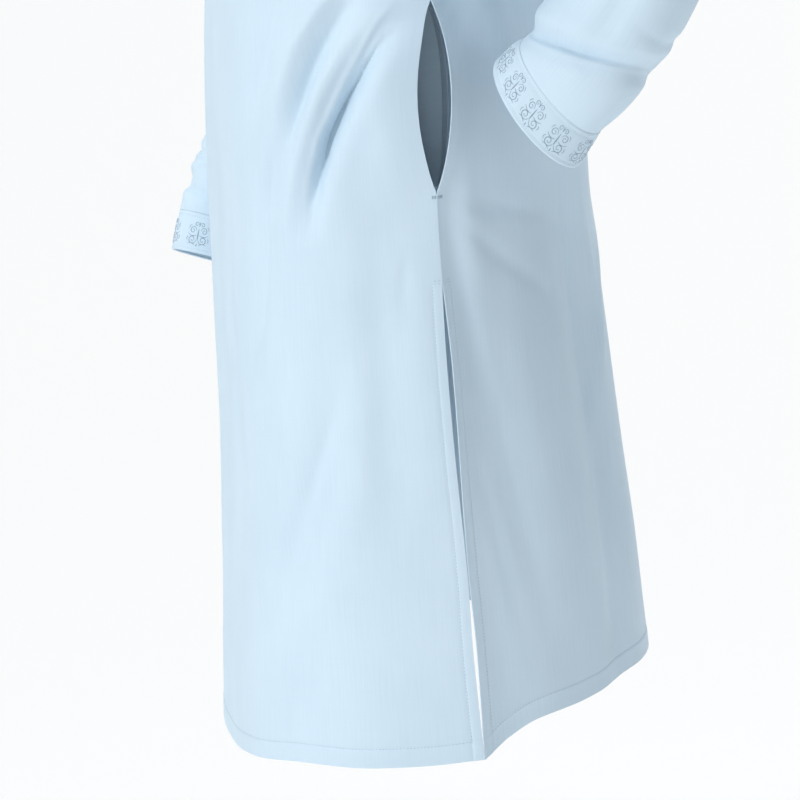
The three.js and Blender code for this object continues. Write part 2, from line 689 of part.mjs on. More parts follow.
// ---------------------------------------------------------------- pocket bag
function bagCell(row, around, shrink) {
  const s = (around / BAG_ROUND) * 2 * Math.PI;
  const tall = (row.tall - shrink) * Math.sin(s);
  const thick = (row.thick - shrink) * Math.cos(s);
  const z = row.z + tall;
  const out = smoothNormal(row.angle, row.z);
  const back = vec(0, 0, 1).cross(out).normalize();
  const width = back.multiplyScalar(Math.cos(row.turn * DEG))
    .addScaledVector(out, -Math.sin(row.turn * DEG));
  const point = smoothCloth(row.angle, row.z).addScaledVector(out, -row.inset);
  point.z = z;
  return point.addScaledVector(width, thick);
}

function pocketBagGeometry() {
  const ring = (row, shrink) => Array.from({ length: BAG_ROUND }, (_, k) => bagCell(row, k, shrink));
  const outer = BAG.map((row) => ring(row, 0));
  const inner = BAG.slice(0, -1).map((row) => ring(row, BAG_WALL));
  const points = [...outer.flat(), ...inner.flat()];
  const faces = [];
  const at = (layer, i, k) => layer * BAG.length * BAG_ROUND + i * BAG_ROUND + (k % BAG_ROUND);
  const quad = (a, b, c, d) => faces.push(a, b, c, a, c, d);
  for (let k = 0; k < BAG_ROUND; k += 1) {
    for (let i = 0; i < BAG.length - 1; i += 1) {
      quad(at(0, i, k), at(0, i, k + 1), at(0, i + 1, k + 1), at(0, i + 1, k));
    }
    for (let i = 0; i < BAG.length - 2; i += 1) {
      quad(at(1, i, k), at(1, i + 1, k), at(1, i + 1, k + 1), at(1, i, k + 1));
    }
    quad(at(0, 0, k), at(1, 0, k), at(1, 0, k + 1), at(0, 0, k + 1));
  }
  for (let k = 1; k < BAG_ROUND - 1; k += 1) {
    const end = BAG.length - 1;
    faces.push(at(0, end, 0), at(0, end, k), at(0, end, k + 1));
    faces.push(at(1, end - 1, 0), at(1, end - 1, k + 1), at(1, end - 1, k));
  }
  return closedGeometry(points, faces);
}

// ---------------------------------------------------------------- the kurta
const kurta = new THREE.Group();

function addPiece(name, geometry, colour = CLOTH_COLOUR) {
  const material = new THREE.MeshStandardMaterial({ color: colour, roughness: 0.85, metalness: 0 });
  const mesh = new THREE.Mesh(geometry, material);
  mesh.name = name;
  kurta.add(mesh);
}

const left = sleeveAndCuff(LEFT_SLEEVE, SLEEVE_FOLDS.left);
const right = sleeveAndCuff(RIGHT_SLEEVE, SLEEVE_FOLDS.right);
addPiece('front_panel', panelGeometry(frontGrid));
addPiece('back_panel', panelGeometry(backGrid));
addPiece('sleeve_left', left.sleeve);
addPiece('sleeve_right', right.sleeve);
addPiece('cuff_left', left.cuff);
addPiece('cuff_right', right.cuff);
addPiece('neck_band', neckBandGeometry());
addPiece('placket', placketGeometry());
addPiece('pocket_bag_left', pocketBagGeometry());
for (let k = 0; k < BUTTON_COUNT; k += 1) {
  const button = buttonMesh(k);
  button.name = `button_${k + 1}`;
  kurta.add(button);
}

export default kurta;
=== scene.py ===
# %% [markdown]
# # A pale blue kurta
# We dress the imported frame of a long kurta in cloth. The frame's solids are coarse, so every
# panel is laid out again on the garment's own form, on a much finer grid, where small creases,
# hems and stitches fit in. A simulated drape would be the other way, but the few long folds of a
# worn kurta are easier to place one by one.

# %% Set-up
import math

import bpy
import numpy as np
from mathutils import Matrix, Vector


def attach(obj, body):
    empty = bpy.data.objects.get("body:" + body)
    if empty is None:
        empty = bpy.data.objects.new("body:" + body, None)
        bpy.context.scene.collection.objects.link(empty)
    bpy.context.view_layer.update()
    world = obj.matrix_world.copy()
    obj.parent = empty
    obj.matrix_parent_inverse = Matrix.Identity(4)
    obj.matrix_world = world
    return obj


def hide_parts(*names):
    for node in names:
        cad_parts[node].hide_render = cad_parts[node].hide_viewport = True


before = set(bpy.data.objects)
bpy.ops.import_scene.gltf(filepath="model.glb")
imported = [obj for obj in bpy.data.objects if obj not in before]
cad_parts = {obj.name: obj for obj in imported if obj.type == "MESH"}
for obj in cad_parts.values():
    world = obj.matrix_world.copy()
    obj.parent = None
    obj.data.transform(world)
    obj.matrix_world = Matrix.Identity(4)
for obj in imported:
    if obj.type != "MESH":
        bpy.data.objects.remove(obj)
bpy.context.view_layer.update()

# %% [markdown]
# ## The form
# A kurta hangs from the shoulders and widens to its hem. We describe it by level sections and
# draw smooth lines through them. All lengths are in millimetres and turn to metres when a mesh
# is made. The wearer faces -Y and the wearer's left is +X. A point of the body is found from its
# angle round the section (0 at the left side seam, -90 at the centre front) and its level.

# %% Sizes and tables
UNDERARM_Z = -250.0
UPPER_SPAN = 240.0
SHOULDER_Z = UNDERARM_Z + UPPER_SPAN
HIP_Z = -700.0
NECK_HALF_WIDTH = 70.0
NECK_FRONT_REACH = 76.0
NECK_BACK_REACH = 52.0
SHOULDER_SLOPE = 0.36
SHOULDER_HALF_WIDTH = 226.0
SHAPES = {"front": (0.714, 0.714), "back": (0.95, 1.25)}  # powers across and deep
MOUTH_TOP_Z = -384.0
MOUTH_FOOT_Z = -549.0
MOUTH_GAP = 30.0
SLIT_TOP_Z = -630.0
SEAM_GAP = 0.3
MM_PER_DEGREE = 3.9  # round the body, near enough for folds

# z, half width, front reach, back reach, place of the side seam
SECTIONS = np.array([
    (-250, 218, 143, 160, 4),
    (-280, 217, 144, 163, 5),
    (-340, 214, 152, 178, 6),
    (-420, 219, 159, 187, 4),
    (-520, 224, 164, 188, 1),
    (-600, 226, 165.5, 191, 1),
    (-700, 232, 167, 198, 3),
    (-800, 240, 168, 206, 5),
    (-900, 248, 172, 216, 8),
    (-1000, 254, 176, 223, 11),
    (-1110, 257, 181, 231, 15),
], float)

# angle, height of the hem
HEM = np.array([
    (-180, -1050), (-150, -1059), (-97, -1084), (-74, -1072), (-48, -1057), (-20, -1055),
    (0, -1051), (11, -1036), (20, -1025), (34, -1020), (60, -1012), (90, -1016),
    (150, -1026), (180, -1050),
], float)

# z, opening of the slit
SLIT = np.array([
    (-620, 0), (-690, 4.5), (-760, 4.5), (-880, 1), (-950, 3.2), (-1000, 2), (-1040, 0.6),
    (-1110, 0.4),
], float)

# Broad folds: a0, z0, a1, a2, z2, half breadth, depth
FOLDS = np.array([
    (0, -385, -25, -36, -590, 22, -12),
    (-4, -340, -36, -48, -570, 24, -8),
    (-42, -330, -52, -60, -540, 24, -4),
    (-50, -470, -54, -70, -740, 22, -3),
    (-22, -640, -36, -60, -960, 34, -5),
    (-10, -560, -12, -14, -860, 24, -4),
    (-95, -420, -98, -100, -1000, 40, -5),
    (-124, -330, -130, -142, -700, 24, -7),
    (-150, -420, -148, -140, -980, 32, -6),
    (-168, -300, -160, -166, -600, 20, -6),
    (3, -560, 18, 30, -1010, 30, -6),
    (13, -520, 14, 16, -1180, 34, -9),
    (44, -500, 52, 50, -1050, 26, -9),
    (72, -420, 80, 84, -980, 32, -6),
    (24, -300, 38, 54, -540, 28, -7),
    (118, -360, 112, 110, -1050, 34, -8),
    (150, -520, 140, 144, -1050, 28, -7),
    (158, -280, 144, 132, -560, 28, -7),
], float)

# %% [markdown]
# The creases below are the finer ones, each a path of (angle, z) points with its half breadth
# and its depth in millimetres: a trough is negative and a ridge positive. A fourth number makes
# one steep towards the centre front and soft towards the side seam. Those round the pocket fan
# out from the mouth, and the rest hang from the shoulders and the hips.

# %% Fine creases
SEAM_SWELL = 9.0  # of the front beside the pocket mouth
SEAM_TUCK = -3.0
CREST_EDGE, CREST_FOOT = 7.0, 3.0
CREASES = [
    # round the pocket
    ([(-6, -414), (-18.5, -461), (-27, -497), (-31.5, -528), (-34, -560)], 6, -11.5, 0.8),
    ([(-6, -386), (-20, -451), (-29.5, -500), (-35, -548)], 3.8, 3.8, 0.2),
    ([(-18, -386), (-31.5, -436), (-38.5, -474), (-43, -512)], 10, -7.5, 0.2),
    ([(-20, -366), (-29, -392), (-38, -424), (-46, -474)], 7, 2.4, 0.0),
    ([(-46, -384), (-52, -430), (-58, -480)], 9, -2.0, 0.0),
    ([(-3, -372), (-10, -356), (-20, -348), (-32, -352)], 7, -3.2),
    ([(-3, -352), (-12, -336), (-24, -330), (-38, -340)], 6, 2.2),
    ([(3, -392), (8, -380), (16, -368), (28, -352)], 7, -3.0),
    ([(4, -420), (11, -410), (20, -398), (32, -392)], 8, 2.0),
    # down the front
    ([(-50, -520), (-54, -607), (-56, -656), (-61, -690), (-66, -716)], 5, -1.6),
    ([(-27, -727), (-36, -780), (-46, -840), (-57, -914)], 10, -2.0),
    ([(-24, -745), (-33, -800), (-42, -850), (-52, -930)], 10, 1.4),
    ([(-5, -604), (-6, -630), (-6, -662)], 6, -1.6),
    ([(-74, -480), (-78, -640), (-76, -820), (-80, -960)], 12, -1.8),
    ([(-104, -500), (-101, -700), (-106, -900)], 13, 1.7),
    ([(-116, -380), (-122, -470), (-128, -560)], 8, -2.4),
    ([(-136, -420), (-140, -560), (-146, -690)], 9, -2.4),
    ([(-152, -350), (-158, -430), (-160, -520)], 7, -2.8),
    ([(-168, -640), (-160, -760), (-156, -900)], 9, -1.8),
    ([(-90, -190), (-96, -260), (-98, -360)], 12, -1.6),
    ([(-60, -210), (-54, -270), (-50, -340)], 9, -2.0),
    ([(-122, -210), (-128, -270), (-132, -340)], 9, -2.0),
    # down the back
    ([(11, -470), (13, -600), (15, -760), (16, -930), (17, -1160)], 26, 9.5),
    ([(7, -760), (12, -840), (17, -920), (21, -1000)], 9, -1.4),
    ([(12, -640), (20, -740), (27, -860), (31, -960)], 9, 0.8),
    ([(47, -500), (50, -640), (54, -800), (50, -1000)], 7, -3.0),
    ([(57, -540), (60, -680), (58, -860)], 7, 2.6),
    ([(80, -540), (63, -657), (56, -761), (41, -1012)], 7, 2.4),
    ([(8, -572), (18, -600), (34, -640), (48, -700)], 8, -2.0),
    ([(6, -556), (20, -566), (40, -580), (60, -610)], 8, -1.8),
    ([(100, -420), (104, -600), (98, -780), (102, -960)], 12, -2.2),
    ([(126, -470), (124, -640), (130, -840)], 10, -2.2),
    ([(140, -360), (150, -430), (156, -520)], 7, -2.8),
    ([(164, -620), (158, -760), (162, -900)], 9, -2.0),
    ([(86, -180), (88, -240), (84, -320)], 14, -1.6),
    ([(60, -230), (66, -290), (76, -350)], 9, -2.2),
    ([(122, -230), (114, -290), (106, -350)], 9, -2.2),
]
print(len(FOLDS), "broad folds,", len(CREASES), "fine creases")


# %% [markdown]
# `read` draws a smooth line through one column of a table, by cubic Hermite spans, so that no
# section shows as a kink.

# %% Smooth lines
def clamp(t):
    return np.clip(t, 0.0, 1.0)


def smooth(t):
    t = clamp(t)
    return t * t * (3 - 2 * t)


def mix(a, b, t):
    return a + (b - a) * t


def hermite(a, b, slope_a, slope_b, t):
    """A curve from a to b that leaves and arrives with the given slopes."""
    return ((2 * t**3 - 3 * t**2 + 1) * a + (t**3 - 2 * t**2 + t) * slope_a
            + (3 * t**2 - 2 * t**3) * b + (t**3 - t**2) * slope_b)


def read(table, column, at):
    keys, values = table[:, 0], table[:, column]
    if keys[0] > keys[-1]:
        keys, values = keys[::-1], values[::-1]
    last = len(keys) - 1
    index = np.arange(last + 1)
    low, high = np.maximum(index - 1, 0), np.minimum(index + 1, last)
    slope = (values[high] - values[low]) / (keys[high] - keys[low])
    i = np.clip(np.searchsorted(keys, at) - 1, 0, last - 1)
    span = keys[i + 1] - keys[i]
    t = clamp((at - keys[i]) / span)
    return hermite(values[i], values[i + 1], span * slope[i], span * slope[i + 1], t)


def unit(v):
    return v / np.maximum(np.linalg.norm(v, axis=-1, keepdims=True), 1e-9)


def lengths_along(line):
    """How far each point of a line is along it."""
    return np.concatenate([[0], np.cumsum(np.linalg.norm(np.diff(line, axis=0), axis=1))])


def points_along(line, run, at):
    return np.stack([np.interp(at, run, line[:, k]) for k in range(3)], -1)


def turned(angle):
    return (angle + 180) % 360 - 180


def off_seam(angle):
    """Degrees to the nearer side seam."""
    return np.minimum(np.abs(turned(angle)), 180 - np.abs(turned(angle)))


print("half the width at the hips", read(SECTIONS, 1, HIP_Z), "mm")

# %% [markdown]
# A fold on worn cloth is a soft trough with a slight rise on either side. A broad fold follows a
# parabola down the cloth. A crease follows its own points, and each place takes the depth that
# its distance to them gives.

# %% Folds, creases and seams
def fold_depth(angle, z):
    depth = np.zeros_like(angle)
    for a0, z0, a1, a2, z2, width, deep in FOLDS:
        t = (z0 - z) / (z0 - z2)
        middle = 2 * (t - 0.5) * (t - 1) * a0 + 4 * t * (1 - t) * a1 + 2 * t * (t - 0.5) * a2
        across = turned(angle - middle) * MM_PER_DEGREE / width
        fade = np.sin(math.pi * clamp(t)) ** 0.7
        depth += deep * fade * (1 - 0.6 * across**2) * np.exp(-(across**2) / 2)
    return depth


def crease_depth(angle, z):
    depth = np.zeros_like(angle)
    for path, width, deep, *lopsided in CREASES:
        path = np.array(path, float)
        steps = len(path) - 1
        nearest = np.full(angle.shape, 1e9)
        along = np.zeros_like(angle)
        seamward = np.zeros_like(angle)
        for k in range(steps):
            a, b = path[k], path[k + 1]
            run = np.array([(b[0] - a[0]) * MM_PER_DEGREE, b[1] - a[1]])
            dx, dz = turned(angle - a[0]) * MM_PER_DEGREE, z - a[1]
            t = clamp((dx * run[0] + dz * run[1]) / (run @ run))
            away = np.hypot(dx - t * run[0], dz - t * run[1])
            closer = away < nearest
            nearest = np.where(closer, away, nearest)
            along = np.where(closer, (k + t) / steps, along)
            seamward = np.where(closer, run[0] * dz - run[1] * dx, seamward)
        taper = np.sin(math.pi * clamp(0.04 + 0.92 * along)) ** 0.8
        widened = width * (0.75 + 0.7 * along)
        if lopsided:
            widened = widened * np.where(seamward > 0, 1 + lopsided[0], 1 / (1 + lopsided[0]))
        depth += deep * taper * np.exp(-((nearest / widened) ** 2))
    return depth


def seam_relief(angle, z):
    """The front swells out beside the pocket mouth, and the side seams are sewn in a tuck."""
    along = smooth((MOUTH_TOP_Z + 30 - z) / 60) * smooth((z - MOUTH_FOOT_Z + 20) / 60)
    mouth = SEAM_SWELL * along * np.exp(-(((angle + 5) / 11) ** 2))
    left, right = (np.exp(-((off / 5) ** 2)) for off in (angle, np.abs(angle) - 180))
    return mouth + SEAM_TUCK * (left + right) * smooth((UNDERARM_Z - z) / 120)


def seam_crest(angle, z):
    """The pressed side seams stand up as a soft edge, so front and back meet at an angle."""
    away = off_seam(angle)
    crest = CREST_EDGE * np.exp(-away / 6.5) + CREST_FOOT * np.exp(-((away / 5) ** 2))
    return crest * smooth((UNDERARM_Z - 40 - z) / 90)


# %% [markdown]
# `smooth_cloth` is the plain form: superellipse sections below the arms, and above them each
# section slopes in to the shoulder's line. `cloth` moves it out along its normals by the folds.

# %% The body's surface
def shoulder_height(x):
    """The shoulder slopes down from the neck and rounds over across the neck itself."""
    inside = SHOULDER_SLOPE * NECK_HALF_WIDTH / 2 * (1 - (x / NECK_HALF_WIDTH) ** 2)
    return np.where(x >= NECK_HALF_WIDTH, SHOULDER_SLOPE * (NECK_HALF_WIDTH - x), inside)


def smooth_cloth(face, angle, level):
    across_power, deep_power = SHAPES[face]
    radians = np.radians(angle)
    z = np.minimum(level, UNDERARM_Z)
    rise = np.maximum(0, (level - UNDERARM_Z) / UPPER_SPAN)
    across = np.sign(np.cos(radians)) * np.abs(np.cos(radians)) ** across_power
    reach = np.abs(np.sin(radians)) ** deep_power
    half = mix(read(SECTIONS, 1, z), SHOULDER_HALF_WIDTH, smooth(rise))
    seam = read(SECTIONS, 4, z)
    turn = rise * math.pi / 2
    if face == "front":
        depth = -read(SECTIONS, 2, z) - seam
        bend = mix(1.1, 2.0, reach**3)
    else:
        depth = read(SECTIONS, 3, z) - seam
        bend = 1.0
    x = half * across
    cos_turn = np.maximum(np.cos(turn), 0)
    y = seam * cos_turn + depth * reach * cos_turn**bend
    top = shoulder_height(np.abs(x))
    return np.stack([x, y, np.where(rise > 0, mix(z, top, np.sin(turn)), z)], -1)


def smooth_normal(face, angle, level):
    """Outward direction of the plain form, from small steps round and up it."""
    step = 0.4
    low = smooth_cloth(face, angle, level - 2 * step)
    high = smooth_cloth(face, angle, np.minimum(level, SHOULDER_Z - 6) + 2 * step)
    down = smooth_cloth(face, angle - step, level)
    up = smooth_cloth(face, angle + step, level)
    normal = unit(np.cross(up - down, high - low))
    at_seam = (np.abs(np.sin(np.radians(angle))) < 0.02)[..., None]
    sideways = np.zeros_like(normal)
    sideways[..., 0] = np.sign(np.cos(np.radians(angle)))
    return np.where(at_seam, sideways, normal)


def cloth(face, angle, level, fine=1.0):
    fade = 1 - smooth((level - UNDERARM_Z) / (0.5 * UPPER_SPAN))
    out = fade * (fold_depth(angle, level) + seam_relief(angle, level))
    open_cloth = smooth((off_seam(angle) - 0.4) / 3)
    out = out + fine * (open_cloth * crease_depth(angle, level) + seam_crest(angle, level))
    normal = smooth_normal(face, angle, level)
    return smooth_cloth(face, angle, level) + normal * out[..., None], normal


# %% [markdown]
# A place on a panel is its side, its share of the way out from the centre (0 to 1 under the
# neck, 1 to 2 from there to the side) and its level.

# %% Places on a panel
def armhole_setback(level):
    """Degrees by which the armhole is cut in at a level."""
    rise = clamp((level - UNDERARM_Z) / UPPER_SPAN)
    return 15 * rise + 88 * rise**0.6 * (1 - rise) ** 1.1


def neck_angle(face):
    """Degrees from the centre to where the neckline meets the shoulder."""
    return math.degrees(math.asin((NECK_HALF_WIDTH / SHOULDER_HALF_WIDTH) ** (1 / SHAPES[face][0])))


def place_angle(face, side, out, level):
    x = np.minimum(1, out) * NECK_HALF_WIDTH
    neck = np.degrees(np.arcsin((x / SHOULDER_HALF_WIDTH) ** (1 / SHAPES[face][0])))
    beyond = np.maximum(out - 1, 0)
    offset = np.where(
        out <= 1, neck, mix(neck, 90, beyond) - armhole_setback(level) * beyond**1.4
    )
    return -90 + side * offset if face == "front" else 90 - side * offset


def neck_level(face, side, out):
    """Level where the panel ends at the neckline, found by halving."""
    low, high = np.full_like(out, UNDERARM_Z), np.full_like(out, SHOULDER_Z)
    angle = place_angle(face, side, out, high)
    inside = 1 - (smooth_cloth(face, angle, high)[..., 0] / NECK_HALF_WIDTH) ** 2
    reach = NECK_FRONT_REACH if face == "front" else NECK_BACK_REACH
    reach = reach * np.sqrt(np.maximum(inside, 0))
    for _ in range(30):
        level = (low + high) / 2
        outside = np.abs(smooth_cloth(face, angle, level)[..., 1]) > reach
        low, high = np.where(outside, level, low), np.where(outside, high, level)
    return np.where(inside <= 0.002, SHOULDER_Z, (low + high) / 2)


def half_opening(side, level):
    """Half the gap between front and back at a side: a seam, the slit or the pocket mouth."""
    z = np.minimum(level, UNDERARM_Z)
    gap = SEAM_GAP + np.where(z < SLIT_TOP_Z, np.maximum(0, read(SLIT, 1, z)), 0)
    t = clamp((z - MOUTH_FOOT_Z) / (MOUTH_TOP_Z - MOUTH_FOOT_Z))
    return (gap + np.where(side > 0, MOUTH_GAP * np.sin(math.pi * t) ** 0.8, 0)) / 2


def on_panel(face, side, out, level, fine=1.0):
    """Outer point and normal at places of a panel, in millimetres."""
    angle = place_angle(face, side, out, level)
    point, normal = cloth(face, angle, level, fine)
    forward = -1 if face == "front" else 1
    reach = np.where(level > MOUTH_FOOT_Z, 60, 30)
    from_seam = (2 - out) * 76 * MM_PER_DEGREE  # a side's share is about 76 degrees
    shift = forward * half_opening(side, level) * (1 - smooth(from_seam / reach))
    point[..., 1] += np.where(level <= UNDERARM_Z, shift, 0)
    return point, normal


def hem_level(face, side, out):
    return read(HEM, 1, place_angle(face, side, out, np.full_like(out, UNDERARM_Z)))


def out_at(face, distance):
    """Share of the way out for a distance in from the side edge, measured at hip level."""
    angles = np.linspace(0, 90 - neck_angle(face), 400)
    sign = -1 if face == "front" else 1
    run = lengths_along(smooth_cloth(face, sign * angles, np.full_like(angles, HIP_Z)))
    return 2 - np.interp(distance, run, angles) / (90 - neck_angle(face)), run[-1]


print("left hip", on_panel("front", 1.0, np.array([2.0]), np.array([HIP_Z]))[0].round(1))

# %% [markdown]
# ## Making meshes
# Cloth is thin, so a piece is first an open sheet on a grid of points. The Solidify modifier
# then gives it a wall on the inside and is applied, which leaves the outer face where it was
# laid out. The UV map is in metres along the cloth, so that the weave has its real size.

# %% Mesh helpers
WALL = 0.0009
DOUBLED_WALL = 0.0018


def add_object(name, data):
    made = bpy.data.objects.new(name, data)
    bpy.context.scene.collection.objects.link(made)
    return made


def to_object(name, points, faces, corner_uv=None):
    mesh = bpy.data.meshes.new(name)
    mesh.from_pydata((np.asarray(points) * 0.001).tolist(), [], faces)
    if corner_uv is not None:
        layer = mesh.uv_layers.new(name="cloth")
        layer.data.foreach_set("uv", corner_uv.astype(np.float32).ravel())
    mesh.update()
    return add_object(name, mesh)


def select_only(piece):
    bpy.ops.object.select_all(action="DESELECT")
    piece.select_set(True)
    bpy.context.view_layer.objects.active = piece


def grid_faces(rows, columns, round_):
    i, j = np.meshgrid(np.arange(rows - 1), np.arange(columns if round_ else columns - 1))
    a, d = i * columns + j, i * columns + (j + 1) % columns
    b, c = a + columns, d + columns
    return np.stack([a, d, c, b], -1).reshape(-1, 4)


def sheet_mesh(name, points, normals, uv, round_=False, wall=WALL):
    rows, columns = points.shape[:2]
    faces = grid_faces(rows, columns, round_)
    flat = points.reshape(-1, 3)
    corners = flat[faces]
    facing = np.cross(corners[:, 2] - corners[:, 0], corners[:, 3] - corners[:, 1])
    outward = normals.reshape(-1, 3)[faces[:, 0]]
    if (facing * outward).sum() < 0:
        faces = faces[:, ::-1]
    corner_uv = uv.reshape(-1, 2)[faces]
    if round_:
        at_end = (faces % columns == columns - 1).any(1, keepdims=True)
        corner_uv[at_end & (faces % columns == 0), 0] += (uv[0, 1, 0] - uv[0, 0, 0]) * columns
    piece = to_object(name, flat, faces.tolist(), corner_uv)
    select_only(piece)
    bpy.ops.object.modifier_add(type="SOLIDIFY")
    solid = piece.modifiers[-1]
    solid.thickness = wall
    solid.offset = -1
    bpy.ops.object.modifier_apply(modifier=solid.name)
    bpy.ops.object.shade_smooth_by_angle(angle=math.radians(50))
    print(name, len(piece.data.polygons), "faces")
    return piece


# %% [markdown]
# ## Front and back
# Each panel is cut in one piece from the shoulders to the hem. Its hem and slit facings are
# folded in and stitched, and a stitch line pulls the cloth in a little and puckers it. We raise
# and groove the grid itself for this, because bump in a material wouldn't show on the edge. The
# columns stand closest at the facing, the rows closest at the hem, and both are close beside the
# pocket, where the creases are sharp.

# %% Grid of a panel
HEM_DEPTH = 17.0
FACING_WIDTH = 8.5
HEM_RISE, FACING_RISE = 0.45, 0.35  # what a folded layer adds
HEM_DENT, FACING_DENT = 0.55, 0.45  # what its stitches pull in
EDGE_STEPS = [0, 2, 4.5, 7, 8, 8.5, 9, 10, 12.5]
HEM_STEPS = [0, 3, 6, 9, 12, 14.5, 16, 17, 18, 19.5, 22, 26, 31]
# stretches of columns and of rows: where each ends (None is the centre), how many it has
LEFT_COLUMNS = {"front": [(215, 76), (None, 24)], "back": [(None, 62)]}
RIGHT_COLUMNS = {"front": [(None, 36)], "back": [(None, 46)]}
ROWS = {"front": [(-640, 62), (-380, 84), (UNDERARM_Z, 22)], "back": [(UNDERARM_Z, 150)]}
HEM_ROWS_TOP = -1019.0
NECK_COLUMNS = 12  # on each half of a panel, apart from the centre's
SHOULDER_ROWS = 44
HIP_ROW = 60  # a row near the hips, which the UV map is measured on


def stretches(start, parts, end):
    """Values from start on, in stretches that each have their end and their count."""
    values = [float(start)]
    for stop, count in parts:
        stop = end if stop is None else stop
        values += np.linspace(values[-1], stop, count + 1)[1:].tolist()
    return np.array(values)


def groove(distance, width=0.9):
    return np.exp(-((distance / width) ** 2))


def edge_detail(out_distance, above_hem, level, along):
    """Height of the folded hem and slit facing and of the puckers at their stitching."""
    hem = HEM_RISE * smooth((HEM_DEPTH - above_hem) / 1.5 + 0.5)
    hem = hem - HEM_DENT * groove(above_hem - HEM_DEPTH)
    ripple = np.sin(along / 1.9) + 0.7 * np.sin(along / 3.1 + 1)
    hem = hem + 0.14 * ripple * groove(above_hem - HEM_DEPTH + 3, 9)
    below = smooth((SLIT_TOP_Z + 4 - level) / 8)
    facing = FACING_RISE * smooth((FACING_WIDTH - out_distance) / 1.5 + 0.5)
    facing = facing - FACING_DENT * groove(out_distance - FACING_WIDTH)
    pucker = 0.1 * np.sin(level / 2.3) * groove(out_distance - FACING_WIDTH + 1, 5)
    return hem + below * (facing + pucker)


print("hem", HEM_DEPTH, "mm, slit facing", FACING_WIDTH, "mm")

# %% [markdown]
# A panel's grid has columns from the right edge to the left one and rows from the hem to the
# shoulder. The last row ends at the neckline in the middle and at the shoulder seam beside it.

# %% The panels
def side_steps(face, parts):
    """Columns of one side, as shares of the way out and as distances in from the edge."""
    to_centre = out_at(face, 0)[1]
    distance = np.concatenate([EDGE_STEPS, stretches(2 * FACING_WIDTH, parts, to_centre)])
    return out_at(face, distance)[0], distance


def panel_grid(face):
    left, left_distance = side_steps(face, LEFT_COLUMNS[face])
    right, right_distance = side_steps(face, RIGHT_COLUMNS[face])
    neck = np.linspace(0, 1, NECK_COLUMNS + 2)[:-1]
    side = np.repeat([-1.0, 1.0], [len(right) + NECK_COLUMNS, NECK_COLUMNS + 1 + len(left)])
    out = np.concatenate([right, neck[:0:-1], neck, left[::-1]])
    far = np.full(2 * NECK_COLUMNS + 1, 400.0)
    distance = np.concatenate([right_distance, far, left_distance[::-1]])
    hem = hem_level(face, side, out)
    low = hem[None] + np.array(HEM_STEPS)[:, None]
    share = stretches(HEM_ROWS_TOP, ROWS[face], UNDERARM_Z)[1:, None] - HEM_ROWS_TOP
    middle = mix(low[-1][None], UNDERARM_Z, share / (UNDERARM_Z - HEM_ROWS_TOP))
    last = np.where(out < 1, neck_level(face, side, out), SHOULDER_Z)
    rise = (np.linspace(0, 1, SHOULDER_ROWS + 1)[1:, None]) ** 1.5
    top = mix(UNDERARM_Z, SHOULDER_Z, rise) - (SHOULDER_Z - last)[None] * rise**2
    level = np.concatenate([low, middle, top])
    side_grid, out_grid = np.broadcast_to(side, level.shape), np.broadcast_to(out, level.shape)
    point, normal = on_panel(face, side_grid, out_grid, level)
    run = lengths_along(point[HIP_ROW])
    along = np.broadcast_to(run - run[len(right) + NECK_COLUMNS], level.shape)
    detail = edge_detail(distance[None], level - hem[None], level, along)
    point = point + normal * detail[..., None]
    point[-1, out >= 1, 1] = (-0.5 if face == "front" else 0.5) * SEAM_GAP
    armhole = level[:, 0] >= UNDERARM_Z
    for edge, nxt in ((0, 1), (-1, -2)):
        inward = unit(point[:, nxt] - point[:, edge])
        point[armhole, edge] += inward[armhole] * SEAM_GAP / 2
    uv = np.stack([along, level], -1) * 0.001
    return point, normal, uv


panels = {}
for face in ("front", "back"):
    points, normals, uv = panel_grid(face)
    panels[face] = sheet_mesh(f"{face}_cloth", points, normals, uv)

# %% [markdown]
# ## Sleeves
# A sleeve is one tube, eased into its armhole and gathered a little at the elbow. It starts as a
# ring in the shape of its armhole and settles into ovals that follow a middle line round the
# elbow, and the cuff goes on from its last ring. A curve with a bevel would be simpler, but it
# can't change from the armhole's shape to an oval or hold creases.

